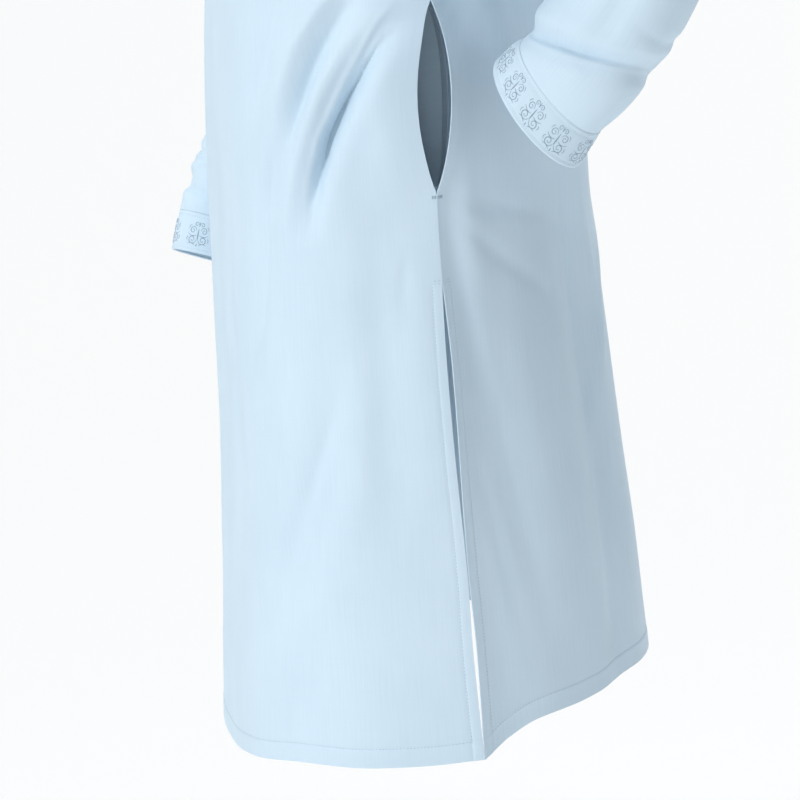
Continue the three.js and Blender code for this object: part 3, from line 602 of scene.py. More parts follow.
# %% Sleeve tables
# bend: radius round the elbow
# settled: share along from which the rings stand square to the middle line
# slant, tilt: how far the rings near the cuff lean along that line, at the top and at the side
# sizes: share along, half size towards the shoulder's line, half size across
# folds, creases: share along, lean, angle of the deepest place, width, depth
# long creases: start, end, angles there, breadth, depth
LEFT_SLEEVE = {
    "side": 1,
    "armhole": (212, 2, -152),
    "out": (262, 40, -182),
    "elbow": (332, 228, -292),
    "bend": 82,
    "settled": 0.5,
    "slant": 11,
    "tilt": 8,
    "cuff_seam": (282, 103.5, -459),
    "cuff_end": (271, 84.5, -483),
    "cuff_size": (57, 38),
    "sizes": [(0, 98, 74), (0.25, 66, 66), (0.45, 56, 61), (0.6, 52, 58), (0.75, 53, 52),
              (0.93, 57, 42), (1, 52, 34)],
    "folds": [(0.92, 0.06, 95, 0.035, -7), (0.62, 0.05, 180, 0.05, -9),
              (0.5, -0.04, 190, 0.04, -8), (0.25, 0.08, 250, 0.05, -6)],
    "creases": [(0.922, 0.065, 98, 0.007, -5.0, 3.2), (0.90, -0.03, 280, 0.014, -2.0),
                (0.84, -0.03, 250, 0.014, -2.0), (0.78, 0.03, 300, 0.014, -1.8),
                (0.70, 0.04, 200, 0.016, -3.0), (0.66, -0.03, 160, 0.014, -3.4),
                (0.57, 0.03, 190, 0.014, -4.0), (0.53, -0.02, 150, 0.012, -3.0),
                (0.46, 0.05, 210, 0.014, -3.4), (0.38, -0.05, 200, 0.018, -2.6),
                (0.30, 0.06, 170, 0.018, -2.4), (0.16, 0.05, 230, 0.020, -2.4),
                (0.12, -0.04, 140, 0.018, -2.6)],
    "long_creases": [(0.64, 0.925, 84, 74, 14, -4.5), (0.55, 0.85, 305, 320, 18, -2.5),
                     (0.1, 0.45, 60, 80, 18, -2.5), (0.08, 0.4, 290, 270, 20, -3.0)],
}
RIGHT_SLEEVE = {
    "side": -1,
    "armhole": (-212, 2, -152),
    "out": (-246, 0, -230),
    "elbow": (-306, -20, -410),
    "bend": 400,
    "settled": 0.8,
    "slant": 0,
    "tilt": 0,
    "cuff_seam": (-261.7, -116.6, -623.9),
    "cuff_end": (-256, -128, -659),
    "cuff_size": (33, 56),
    "sizes": [(0, 98, 74), (0.25, 70, 70), (0.45, 60, 64), (0.7, 52, 60), (0.93, 41, 60),
              (1, 34, 57)],
    "folds": [(0.93, 0.03, 60, 0.025, -4), (0.8, -0.05, 40, 0.04, -4),
              (0.5, 0.05, 120, 0.05, -7), (0.3, -0.06, 240, 0.05, -5)],
    "creases": [(0.955, 0.015, 80, 0.010, -2.4), (0.91, -0.02, 110, 0.013, 2.0),
                (0.87, 0.03, 60, 0.012, -2.4), (0.82, -0.03, 120, 0.014, -2.2),
                (0.74, 0.04, 80, 0.016, -2.2), (0.62, -0.04, 140, 0.016, -2.6),
                (0.55, 0.05, 110, 0.016, -3.2), (0.47, -0.03, 150, 0.014, -3.0),
                (0.40, 0.04, 120, 0.016, -2.4), (0.22, -0.05, 200, 0.020, -2.6),
                (0.14, 0.05, 170, 0.018, -2.6)],
    "long_creases": [(0.6, 0.96, 70, 84, 14, -3.0), (0.55, 0.9, 250, 262, 18, -2.5),
                     (0.1, 0.5, 80, 60, 18, -2.5), (0.08, 0.4, 280, 300, 20, -3.0)],
}
HALF_ARMHOLE = 8  # an armhole is counted in rows, eight from the shoulder to the underarm


# %% [markdown]
# The middle line runs from the armhole through the arm's outer point, round the elbow in an arc
# and on to the cuff.

# %% Middle line and armhole
def curve_points(knots, count=2400):
    """A smooth line through the knots, by centripetal Catmull-Rom, evenly spaced."""
    knots = [np.array(k, float) for k in knots]
    knots = [2 * knots[0] - knots[1], *knots, 2 * knots[-1] - knots[-2]]
    line = []
    for k in range(1, len(knots) - 2):
        p0, p1, p2, p3 = knots[k - 1:k + 3]
        d0, d1, d2 = (max(np.linalg.norm(b - a) ** 0.5, 1e-4)
                      for a, b in ((p0, p1), (p1, p2), (p2, p3)))
        t1 = ((p1 - p0) / d0 - (p2 - p0) / (d0 + d1) + (p2 - p1) / d1) * d1
        t2 = ((p2 - p1) / d1 - (p3 - p1) / (d1 + d2) + (p3 - p2) / d2) * d1
        share = np.linspace(0, 1, 200, endpoint=k == len(knots) - 3)[:, None]
        line.append(hermite(p1, p2, t1, t2, share))
    line = np.concatenate(line)
    run = lengths_along(line)
    return points_along(line, run, np.linspace(0, run[-1], count)), run[-1]


def middle_line(sleeve):
    corner, seam = np.array(sleeve["elbow"], float), np.array(sleeve["cuff_seam"], float)
    back = unit(np.array(sleeve["out"], float) - corner)
    onward = unit(seam - corner)
    half = math.acos(float(back @ onward)) / 2
    leg = min(sleeve["bend"] / math.tan(half), 0.7 * np.linalg.norm(seam - corner))
    radius = leg * math.tan(half)
    middle = unit(back + onward) * (radius / math.sin(half) - radius)
    return curve_points([
        sleeve["armhole"], sleeve["out"], corner + back * leg, corner + middle,
        corner + onward * leg, seam, sleeve["cuff_end"],
    ])


def armhole_line(side, q):
    """The armhole seam. q counts rows from the shoulder, down the front and up the back."""
    rise = np.abs(HALF_ARMHOLE - q) / HALF_ARMHOLE
    level = mix(UNDERARM_Z, SHOULDER_Z, rise**1.5)
    sides, outs = np.full_like(q, side), np.full_like(q, 2.0)
    front, front_normal = on_panel("front", sides, outs, level, 0.0)
    back, back_normal = on_panel("back", sides, outs, level, 0.0)
    is_front = (q <= HALF_ARMHOLE)[:, None]
    normal = np.where(is_front, front_normal, back_normal)
    return np.where(is_front, front, back), normal


print("left sleeve", round(middle_line(LEFT_SLEEVE)[1]), "mm along its middle")
print("right sleeve", round(middle_line(RIGHT_SLEEVE)[1]), "mm along its middle")

# %% [markdown]
# Folds run across a sleeve where it bends and along it where it is pulled. Each ring is then an
# oval, a little smaller or larger by what the folds say.

# %% Sleeve surface
def ring_fold(folds, along, around):
    """Folds across the sleeve. A sixth number softens one's slope on the elbow's side."""
    depth = np.zeros_like(around)
    for at, lean, deepest, width, deep, *softer in folds:
        turn = np.radians(around - deepest)
        off = (along - at - lean * np.sin(turn)) / width
        share = 0.5 + 0.5 * np.cos(turn)
        if softer:
            off = np.where(off < 0, off / softer[0], off)
            share = share**2.2
        depth += deep * share * (1 - off**2) * np.exp(-(off**2))
    return depth


def long_crease(creases, along, around):
    """Soft troughs that run down the sleeve."""
    depth = np.zeros_like(around)
    for start, end, first, last, breadth, deep in creases:
        share = clamp((along - start) / (end - start))
        off = turned(around - mix(first, last, share)) / breadth
        depth += deep * max(0.0, math.sin(math.pi * share)) ** 0.8 * np.exp(-(off**2))
    return depth


def sleeve_surface(sleeve, rings, cuff_rings, columns, fine=1.0):
    """Rings of points and normals from the armhole to the cuff seam, then to the cuff's end."""
    line, length = middle_line(sleeve)
    seam, end = np.array(sleeve["cuff_seam"], float), np.array(sleeve["cuff_end"], float)
    seam_at = 1 - np.linalg.norm(seam - end) / length
    turn = np.arange(columns) / columns
    around = turn * 360
    cos, sin = np.cos(np.radians(around)), np.sin(np.radians(around))
    start, start_normal = armhole_line(sleeve["side"], turn * 2 * HALF_ARMHOLE)
    sizes = np.array(sleeve["sizes"], float)
    stations = np.concatenate([seam_at * rings, seam_at + (1 - seam_at) * cuff_rings[1:]])
    top, spots = np.array([0.0, 0.0, 1.0]), None
    points, normals = [], []
    for t in stations:
        index = t * (len(line) - 1)
        low = min(int(index), len(line) - 2)
        centre = mix(line[low], line[low + 1], index - low)
        ahead = unit(line[min(low + 3, len(line) - 1)] - line[max(low - 2, 0)])
        top = unit(top - ahead * (top @ ahead))
        across = unit(-sleeve["side"] * np.cross(top, ahead))
        if spots is None:
            away = start - centre
            spots = away @ top, away @ across, away @ ahead
        along = t / seam_at
        on_cuff = clamp((t - seam_at) / (1 - seam_at))
        fold = ring_fold(sleeve["folds"], along, around)
        if along <= 1:
            small = ring_fold(sleeve["creases"], along, around)
            small = small + long_crease(sleeve["long_creases"], along, around)
            fold = fold + fine * smooth((1 - along) / 0.03) * small
        inner = min(1.0, along)
        half_top = mix(read(sizes, 1, inner), sleeve["cuff_size"][0], on_cuff) + fold
        half_side = mix(read(sizes, 2, inner), sleeve["cuff_size"][1], on_cuff) + fold
        oval = smooth(along / 0.32)
        square = smooth(along / sleeve["settled"])
        slant = (sleeve["slant"] * cos + sleeve["tilt"] * sin) * smooth((along - 0.65) / 0.35)
        points.append(
            centre
            + np.outer(mix(spots[0], half_top * cos, oval), top)
            + np.outer(mix(spots[1], half_side * sin, oval), across)
            + np.outer(mix(spots[2], 0, square) + slant, ahead)
        )
        normals.append(unit(np.outer(cos / half_top, top) + np.outer(sin / half_side, across)))
    points, normals = np.array(points), np.array(normals)
    onward = unit(points[1] - start)
    own = unit(np.cross(np.roll(start, -1, 0) - np.roll(start, 1, 0), onward))
    own *= np.sign((own * normals[1]).sum(-1, keepdims=True))
    ridge = (onward * start_normal).sum(-1, keepdims=True) < 0
    points[0] = start + onward * SEAM_GAP / 2 - np.where(ridge, 0, own * SEAM_GAP)
    return points, normals


# %% [markdown]
# The cuff is a band of doubled cloth, so its wall is twice as thick. Its two long edges are
# topstitched and drawn in a little there, and the last rings roll over the fold at the opening.

# %% Sleeves and cuffs
CUFF_LENGTHS = {"left": 32.5, "right": 37.1}
SLEEVE_GIRTH, CUFF_GIRTH = 380, 290
SEAM_STITCH, EDGE_STITCH = 3.5, 4.5  # stitch lines, in from the seam and from the opening
SLEEVE_COLUMNS = 112
SLEEVE_SHARES = stretches(0, [(0.8, 104), (1.0, 72)], 1)
CUFF_SHARES = np.array([0, 0.02, 0.05, 0.08, 0.11, 0.15, *np.linspace(0.2, 0.88, 16), 0.92,
                        0.95, 0.98, 1.0])
sleeves, cuffs, cuff_surfaces = {}, {}, {}


def ring_uv(points, girth):
    columns = points.shape[1]
    u, v = np.arange(columns) / columns * girth, lengths_along(points[:, 0])[:, None]
    return np.stack(np.broadcast_arrays(u, v), -1) * 0.001


def make_sleeve(name, sleeve):
    points, normals = sleeve_surface(sleeve, SLEEVE_SHARES, CUFF_SHARES, SLEEVE_COLUMNS)
    count = len(SLEEVE_SHARES)
    body, cuff = points[:count].copy(), points[count - 1:].copy()
    cuff_normals = normals[count - 1:]
    near = CUFF_SHARES * CUFF_LENGTHS[name]
    far = CUFF_LENGTHS[name] - near
    detail = 0.5 - 0.6 * groove(near - SEAM_STITCH, 1.0) - 0.6 * groove(far - EDGE_STITCH, 1.0)
    detail = detail - 0.9 * groove(far, 0.8) - 0.5 * groove(near, 1.0)
    cuff = cuff + cuff_normals * detail[:, None, None]
    cuff[0] += unit(cuff[1] - cuff[0]) * SEAM_GAP
    sleeves[name] = sheet_mesh(
        f"sleeve_{name}_cloth", body, normals[:count], ring_uv(body, SLEEVE_GIRTH), True)
    cuffs[name] = sheet_mesh(
        f"cuff_{name}_cloth", cuff, cuff_normals, ring_uv(cuff, CUFF_GIRTH), True, DOUBLED_WALL)
    cuff_surfaces[name] = (cuff, cuff_normals)


make_sleeve("left", LEFT_SLEEVE)
make_sleeve("right", RIGHT_SLEEVE)

# %% [markdown]
# ## Embroidery
# Each medallion is a round palmette of scrolls worked in satin stitch: curls, fronds and a bud.
# An image texture could show it, but thread stands up from the cloth, so it gets meshes. It is
# drawn flat in millimetres and then laid on the cuff, x round it and y towards the opening. A
# stroke is a line of (x, y, width): thread work swells in the middle of a stroke and thins out
# at its tips.

# %% Medallion strokes
def curl(x, y, radius, turns, start, hand, width):
    """A scroll that winds in on itself and ends in a small knob."""
    t = np.linspace(0, 1, 24)
    angle = start + hand * t * turns * 2 * math.pi
    shrink = radius * (1 - 0.8 * t)
    thread = width * (0.45 + 0.55 * np.sin(math.pi * np.minimum(1, 1.3 * t)) + 0.5 * t**6)
    return np.stack([x + shrink * np.cos(angle), y + shrink * np.sin(angle), thread], -1)


def frond(x0, y0, x1, y1, bow, width):
    """A curved stroke that swells like a long drop."""
    t = np.linspace(0, 1, 10)
    run = np.array([x1 - x0, y1 - y0])
    side = np.array([-run[1], run[0]]) / np.linalg.norm(run)
    middle = np.array([x0, y0]) + t[:, None] * run + bow * np.sin(math.pi * t)[:, None] * side
    thread = 0.35 + (width - 0.35) * np.sin(math.pi * t**0.75)
    return np.concatenate([middle, thread[:, None]], 1)


MEDALLION = [frond(0, 5.0, 0, -5.6, 0.0, 1.9), frond(0, -7.0, 0, -11.2, 0.0, 1.2),
             frond(0, 11.6, 0, 8.2, 0.0, 1.5)]
for hand in (-1, 1):
    inward = math.pi if hand > 0 else 0.0
    MEDALLION += [
        curl(hand * 5.4, 4.6, 4.5, 1.45, inward, -hand, 1.15),
        curl(hand * 5.8, -3.6, 3.5, 1.35, inward, hand, 1.05),
        curl(hand * 3.0, -8.8, 2.3, 1.2, inward, hand, 0.9),
        frond(hand * 1.6, 0.4, hand * 10.6, -0.6, hand * 1.5, 0.95),
        frond(hand * 2.0, 10.4, hand * 9.6, 8.8, -hand * 1.3, 1.0),
        frond(hand * 10.2, 2.2, hand * 10.4, 6.4, -hand * 1.0, 0.9),
        frond(hand * 8.0, -8.0, hand * 10.2, -4.4, -hand * 0.7, 0.8),
    ]
print(len(MEDALLION), "strokes in a medallion")

# %% [markdown]
# A stroke becomes a low three-sided ribbon, highest along its middle like satin stitch.

# %% Laying thread on cloth
def way_round(name):
    """How far each point of a cuff's middle ring is round it, back to the first point."""
    surface = cuff_surfaces[name][0]
    ring = surface[len(surface) // 2]
    return lengths_along(np.concatenate([ring, ring[:1]]))


def lay_on_cuff(name, line):
    surface, normals = cuff_surfaces[name]
    run = way_round(name)
    columns = len(run) - 1
    u = np.interp(line[:, 0] % run[-1], run, np.arange(columns + 1))
    v = np.interp(line[:, 1], CUFF_SHARES * CUFF_LENGTHS[name], np.arange(len(surface)))
    i, j = np.minimum(v.astype(int), len(surface) - 2), u.astype(int)
    di, dj = (v - i)[:, None], (u - j)[:, None]

    def sample(grid):
        a, b = grid[i, j % columns], grid[i, (j + 1) % columns]
        c, d = grid[i + 1, j % columns], grid[i + 1, (j + 1) % columns]
        return mix(mix(a, b, dj), mix(c, d, dj), di)

    return sample(surface), unit(sample(normals))


def thread_mesh(name, points, faces, angle):
    piece = to_object(name, points, faces)
    select_only(piece)
    bpy.ops.object.mode_set(mode="EDIT")
    bpy.ops.mesh.select_all(action="SELECT")
    bpy.ops.mesh.normals_make_consistent(inside=False)
    bpy.ops.object.mode_set(mode="OBJECT")
    bpy.ops.object.shade_smooth_by_angle(angle=math.radians(angle))
    print(name, len(faces), "faces")
    return piece


def ribbons(name, lines, height):
    """Low ribbons from (line, normals, widths) strokes."""
    points, faces = [], []
    for line, normals, widths in lines:
        tangent = unit(np.gradient(line, axis=0))
        side = unit(np.cross(tangent, normals)) * np.asarray(widths)[:, None] / 2
        base = len(points)
        for p, s, n in zip(line, side, normals):
            points += [p - s - n * 0.1, p + n * height, p + s - n * 0.1]
        for k in range(len(line) - 1):
            a = base + 3 * k
            for e in range(3):
                f = (e + 1) % 3
                faces.append((a + e, a + f, a + 3 + f, a + 3 + e))
        last = base + 3 * (len(line) - 1)
        faces += [(base + 2, base + 1, base), (last, last + 1, last + 2)]
    return thread_mesh(name, points, faces, 70)


def embroider(name, count):
    """Medallions round a cuff, the first a fifth of a place on from the ring's first point."""
    pitch = way_round(name)[-1] / count
    lines = []
    for k in range(count):
        spot = np.array([(k + 0.2) * pitch, 0.5 * CUFF_LENGTHS[name]])
        for stroke in MEDALLION:
            lines.append((*lay_on_cuff(name, stroke[:, :2] + spot), stroke[:, 2]))
    return ribbons(f"embroidery_{name}", lines, 0.3)


embroidery = {"left": embroider("left", 10), "right": embroider("right", 9)}

# %% [markdown]
# ## Stitching
# A seam is held by one stitch every three millimetres or so. A dashed line in the material would
# be flat, so every stitch is a small spindle of thread, sunk a little into the line it pulls in.
# It has eight faces, because there are thousands.

# %% Stitches
FINE_STITCH = (2.6, 2.0)  # pitch and length on cuffs, band and placket


def stitch_rows(name, rows, pitch=3.1, length=2.4, radius=0.28):
    points, faces = [], []
    for line, normals in rows:
        run = lengths_along(line)
        count = max(2, int(run[-1] / pitch))
        at = (np.arange(count) + 0.5) * run[-1] / count
        place = points_along(line, run, at)
        onward = points_along(line, run, at + 0.5) - points_along(line, run, at - 0.5)
        tangent = unit(onward) * length / 2
        normal = unit(points_along(normals, run, at))
        side = unit(np.cross(tangent, normal)) * radius
        up = normal * radius
        ring = np.stack([place - tangent - 0.8 * up, place + side, place + up, place - side,
                         place - up, place + tangent - 0.8 * up], 1)
        for k in range(count):
            base = len(points)
            points.extend(ring[k])
            for e in range(4):
                a, b = base + 1 + e, base + 1 + (e + 1) % 4
                faces += [(base, b, a), (base + 5, a, b)]
    return thread_mesh(name, points, faces, 80)


def panel_row(face, side, out, level, lift=-0.1):
    out, level = np.broadcast_arrays(np.asarray(out, float), np.asarray(level, float))
    point, normal = on_panel(face, np.full(out.shape, float(side)), out.copy(), level.copy())
    return point + normal * lift, normal


def panel_stitches(face):
    rows = []
    facing = float(out_at(face, FACING_WIDTH)[0])
    for side in (-1, 1):
        out = np.linspace(0, facing, 160)
        hem = hem_level(face, float(side), out)
        rows.append(panel_row(face, side, out, hem + HEM_DEPTH))
        rows.append(panel_row(face, side, facing, np.linspace(SLIT_TOP_Z + 3, hem[-1] + 2, 160)))
        for rise in (1.5, 4.0):
            across = np.linspace(facing, 1.9995, 12)
            rows.append(panel_row(face, side, across, SLIT_TOP_Z + rise, 0.25))
    return rows


def front_pocket_row():
    """A short row where the pocket bag is caught to the front."""
    point, normal = cloth("front", np.linspace(-50.5, -53, 30), np.linspace(-518, -612, 30))
    return point - 0.1 * normal, normal


stitching = {
    "front": panel_stitches("front") + [front_pocket_row()],
    "back": panel_stitches("back"),
}
seams = {face: stitch_rows(f"stitches_{face}", rows) for face, rows in stitching.items()}


def ring_row(name, distance):
    surface, normals = cuff_surfaces[name]
    at = np.interp(distance, CUFF_SHARES * CUFF_LENGTHS[name], np.arange(len(surface)))
    i, part = int(at), at - int(at)
    line, normal = mix(surface[i], surface[i + 1], part), normals[i]
    return np.concatenate([line, line[:1]]), np.concatenate([normal, normal[:1]])


for name, length in CUFF_LENGTHS.items():
    rows = [ring_row(name, SEAM_STITCH), ring_row(name, length - EDGE_STITCH)]
    seams[f"cuff_{name}"] = stitch_rows(f"stitches_cuff_{name}", rows, *FINE_STITCH)

# %% [markdown]
# A pocket mouth is pulled at whenever a hand goes in, so a bar tack holds each end: four rows of
# dense stitches across the seam. The rows at the heads of the slits are made above.

# %% Bar tacks
def bar_tack(level):
    lines = []
    for z in level + 0.7 * np.arange(-2, 2):
        for face in ("front", "back"):
            across = np.linspace(float(out_at(face, 5.0)[0]), 1.9998, 8)
            lines.append(panel_row(face, 1, across, z, 0.35))
    return lines


tacks = bar_tack(MOUTH_FOOT_Z - 4) + bar_tack(MOUTH_TOP_Z + 4)
seams["tacks"] = stitch_rows("bar_tacks", tacks, 1.5, 1.9, 0.34)

# %% [markdown]
# ## Neck
# The standing band is doubled cloth with a stiffener. It follows the neckline, a little closer to
# the neck at its top, and its two front ends are rounded.

# %% Neck band
NECK_BAND_HEIGHT = 32.0
BAND_STITCH = 3.5
BAND_LEAN = 0.22


def neckline(face, x):
    out = x / NECK_HALF_WIDTH
    sides = np.ones_like(out)
    return on_panel(face, sides, out, neck_level(face, sides, out), 0.0)[0]


around = NECK_HALF_WIDTH * np.sin(np.linspace(0, math.pi / 2, 40))
front_x = np.concatenate([[2.4, 4, 6, 9, 12, 16, 20, 25], around[around > 28]])
half_ring = np.concatenate([neckline("front", front_x), neckline("back", around[::-1])])
mirrored = half_ring[::-1][1:] * np.array([-1, 1, 1])
neck_ring = np.concatenate([half_ring, mirrored])
from_end = np.minimum(np.arange(len(neck_ring)), np.arange(len(neck_ring))[::-1])
end_height = np.array([0.72, 0.83, 0.9, 0.95, 0.985, 1.0])[np.minimum(from_end, 5)]
radial = unit(neck_ring * np.array([1, 1, 0]))
shares = np.array([0, 0.06, 0.12, 0.18, 0.3, 0.45, 0.6, 0.75, 0.84, 0.9, 0.95, 1.0])
rise = shares[:, None] * NECK_BAND_HEIGHT * end_height
band = neck_ring[None] + rise[..., None] * (np.array([0, 0, 1]) - BAND_LEAN * radial)
band = band + np.array([0, 0, 1.5 * SEAM_GAP]) - SEAM_GAP * radial
band_normals = np.broadcast_to(unit(radial + np.array([0, 0, 0.2])), band.shape)
for depth in (rise, NECK_BAND_HEIGHT - rise):
    band = band - band_normals * 0.5 * groove(depth - BAND_STITCH, 1.0)[..., None]
uv = np.stack(np.broadcast_arrays(lengths_along(neck_ring), rise), -1) * 0.001
neck_band = sheet_mesh("neck_band_cloth", band, band_normals, uv, wall=DOUBLED_WALL)
rows = [(band[k], band_normals[k]) for k in (3, 8)]
seams["neck"] = stitch_rows("stitches_neck", rows, *FINE_STITCH)

# %% [markdown]
# The placket is a strip on the front that both buttoned edges end in. Its places are (x, share of
# the way up), so it follows the front's own form and lies a little above it.

# %% Placket
PLACKET_FOOT_Z = -333.4
PLACKET_LENGTH = 270.0
PLACKET_HALF = 16.0
PLACKET_STITCH = 13.0
PLACKET_LIFT = 1.9


def placket_places(x, share):
    side, out = np.where(x < 0, -1.0, 1.0), np.abs(x) / NECK_HALF_WIDTH
    top = neck_level("front", side, out)
    return on_panel("front", side, out, mix(PLACKET_FOOT_Z, top, share))


half = np.array([0, 5, 9, 12.6, PLACKET_STITCH, 13.4, 15.2, PLACKET_HALF])
share = np.concatenate([[0, 0.005, 0.012], np.linspace(0.02, 1, 90)])
x_grid, share_grid = np.broadcast_arrays(np.append(-half[:0:-1], half)[None], share[:, None])
points, normals = placket_places(x_grid, share_grid)
off = np.abs(x_grid)
dents = 0.35 * groove(off - PLACKET_STITCH, 0.6) + 0.5 * groove(off - PLACKET_HALF, 0.5)
lift = PLACKET_LIFT - dents
uv = np.stack([x_grid, share_grid * PLACKET_LENGTH], -1) * 0.001
placket = sheet_mesh(
    "placket_cloth", points + normals * lift[..., None], normals, uv, wall=0.0014)


def placket_row(x, share):
    x, share = np.broadcast_arrays(x, share)
    point, normal = placket_places(x.astype(float), share.astype(float))
    return point + normal * (PLACKET_LIFT - 0.25), normal


up, across = np.linspace(0.045, 0.99, 80), np.linspace(-PLACKET_STITCH, PLACKET_STITCH, 12)
rows = [placket_row(x, up) for x in (-PLACKET_STITCH, PLACKET_STITCH)]
rows += [placket_row(across, share) for share in (0.045, 0.16)]
seams["placket"] = stitch_rows("stitches_placket", rows, *FINE_STITCH)

# %% [markdown]
# Shirt buttons are turned discs with a raised rim and four holes, sewn on with crossed thread. We
# spin their profile as a lathe does, cut the holes with a boolean and lay two ribbons across.

# %% Buttons
BUTTON_ROWS = [7, 5, 3, 1]  # rows above the underarm, counted as an armhole's
BUTTON_PROFILE = [  # radius, height
    (0.01, 0), (4.6, 0), (5.3, 0.4), (5.6, 1.2), (5.4, 2.0), (4.9, 2.35), (4.4, 2.2),
    (3.9, 1.75), (0.01, 1.7),
]
BUTTON_BASE = 2.35  # above the front
HOLE_RADIUS, HOLE_OFFSET = 0.62, 1.25


def lathe(profile, count=40):
    turn = np.arange(count) / count * 2 * math.pi
    points = [(r * math.cos(a), r * math.sin(a), z) for r, z in profile for a in turn]
    return np.array(points), grid_faces(len(profile), count, True).tolist()


def make_button(index, row):
    share = (row / HALF_ARMHOLE) ** 1.5
    side, out = np.ones(1), np.zeros(1)
    last = neck_level("front", side, out)
    level = mix(UNDERARM_Z, SHOULDER_Z, share) - (SHOULDER_Z - last) * share**2
    point, normal = on_panel("front", side, out, level)
    base = point[0] + normal[0] * BUTTON_BASE
    turn = np.array(Vector(normal[0]).to_track_quat("Z", "Y").to_matrix())
    button = to_object(f"button_{index}_disc", *lathe(BUTTON_PROFILE))
    select_only(button)
    reach = HOLE_OFFSET * 0.001
    for spot in ((-reach, -reach), (-reach, reach), (reach, -reach), (reach, reach)):
        bpy.ops.mesh.primitive_cylinder_add(
            vertices=12, radius=HOLE_RADIUS * 0.001, depth=0.01, location=(*spot, 0.001))
        hole = bpy.context.object
        cut = button.modifiers.new("hole", "BOOLEAN")
        cut.object, cut.solver = hole, "EXACT"
        select_only(button)
        bpy.ops.object.modifier_apply(modifier=cut.name)
        bpy.data.objects.remove(hole, do_unlink=True)
    place = Matrix.Translation(Vector(base * 0.001)) @ Matrix(turn.tolist()).to_4x4()
    button.data.transform(place)
    bpy.ops.object.shade_smooth_by_angle(angle=math.radians(40))
    crosses = []
    for x in (-HOLE_OFFSET, HOLE_OFFSET):
        line = np.array([[-x, -HOLE_OFFSET, 1.95], [0, 0, 2.25], [x, HOLE_OFFSET, 1.95]])
        world = line @ turn.T + base
        crosses.append((world, np.broadcast_to(normal[0], world.shape), [0.7] * len(world)))
    thread = ribbons(f"button_thread_{index}", crosses, 0.25)
    return button, thread


buttons = [make_button(k + 1, row) for k, row in enumerate(BUTTON_ROWS)]
print(len(buttons), "buttons")

# %% [markdown]
# ## Pocket bag
# The bag is sewn to both edges of the mouth in the side seam and turns forward to lie flat inside
# the front. Only its mouth shows, so plain oval rings along its way are enough.

# %% Pocket bag
BAG_GIRTH = 340
BAG_WALL = 0.0006
# angle, z, half height, half thickness, inset, turn
BAG = np.array([
    (1.5, -467, 79, 15, 8, 0), (0, -468, 82, 15, 15, 25), (-5, -472, 88, 13, 24, 62),
    (-12, -486, 100, 11, 28, 90), (-20, -504, 108, 9, 28, 90), (-28, -520, 98, 7, 27, 90),
    (-34, -530, 76, 5, 26, 90), (-37, -534, 46, 3, 26, 90),
], float)


def pocket_bag():
    steps = np.linspace(0, len(BAG) - 1, 60)
    rows = [np.interp(steps, np.arange(len(BAG)), BAG[:, k]) for k in range(6)]
    s = np.linspace(0, 2 * math.pi, 64, endpoint=False)
    points, normals = [], []
    for angle, z, tall, thick, inset, turn in zip(*rows):
        face = "front" if angle < 0 else "back"
        here = np.array([angle]), np.array([z])
        out = smooth_normal(face, *here)[0]
        back = unit(np.cross([0, 0, 1], out))
        width = back * math.cos(math.radians(turn)) - out * math.sin(math.radians(turn))
        centre = smooth_cloth(face, *here)[0] - out * inset
        wrinkle = 1 + 0.05 * np.sin(3 * s + angle / 4)
        up = np.array([0, 0, 1])
        points.append(centre + np.outer(thick * wrinkle * np.cos(s), width)
                      + np.outer(tall * np.sin(s), up))
        normals.append(unit(np.outer(np.cos(s) / thick, width) + np.outer(np.sin(s) / tall, up)))
    points, normals = np.array(points), np.array(normals)
    uv = ring_uv(points, BAG_GIRTH)
    return sheet_mesh("pocket_bag_cloth", points, normals, uv, True, BAG_WALL)


bag = pocket_bag()

# %% [markdown]
# ## Materials
# The cloth is cotton poplin: a fine plain weave, matt, with a soft bloom where light grazes it.
# An image could show the weave, but noise and waves in the piece's own UV map, which is in
# metres, give it its real scale on every piece and never repeat.

# %% Material helpers
def linear(code):
    """Linear colour of an sRGB hex code."""
    channels = [int(code[k:k + 2], 16) / 255 for k in (1, 3, 5)]
    return [c / 12.92 if c <= 0.04045 else ((c + 0.055) / 1.055) ** 2.4 for c in channels] + [1]


def feed(tree, made, inputs):
    """Gives a node's inputs a value, or a link where the value is a socket."""
    for key, value in inputs.items():
        if isinstance(value, bpy.types.NodeSocket):
            tree.links.new(value, made.inputs[key])
        else:
            made.inputs[key].default_value = value


def node(tree, kind, inputs, **settings):
    made = tree.nodes.new(kind)
    for key, value in settings.items():
        setattr(made, key, value)
    feed(tree, made, inputs)
    return made


def new_material(name):
    material = bpy.data.materials.new(name)
    material.use_nodes = True
    tree = material.node_tree
    return material, tree, tree.nodes["Principled BSDF"]


# %% [markdown]
# Poplin has some 40 threads to the centimetre. They are drawn a little coarser, 0.42 mm each, so
# that they can show at all. Thicker threads, or slubs, run down the cloth, fainter ones across,
# and wide clouds of a close tone keep a large panel from looking painted.

# %% Cloth
WAVE_PERIOD = 0.314  # of a wave texture at scale 1
UNEVENNESS = [  # stretch, detail, weight in the tone
    ((700, 18, 1), 3.0, 0.5),
    ((30, 520, 1), 2.0, 0.1),
    ((14, 9, 1), 2.0, 0.6),
]


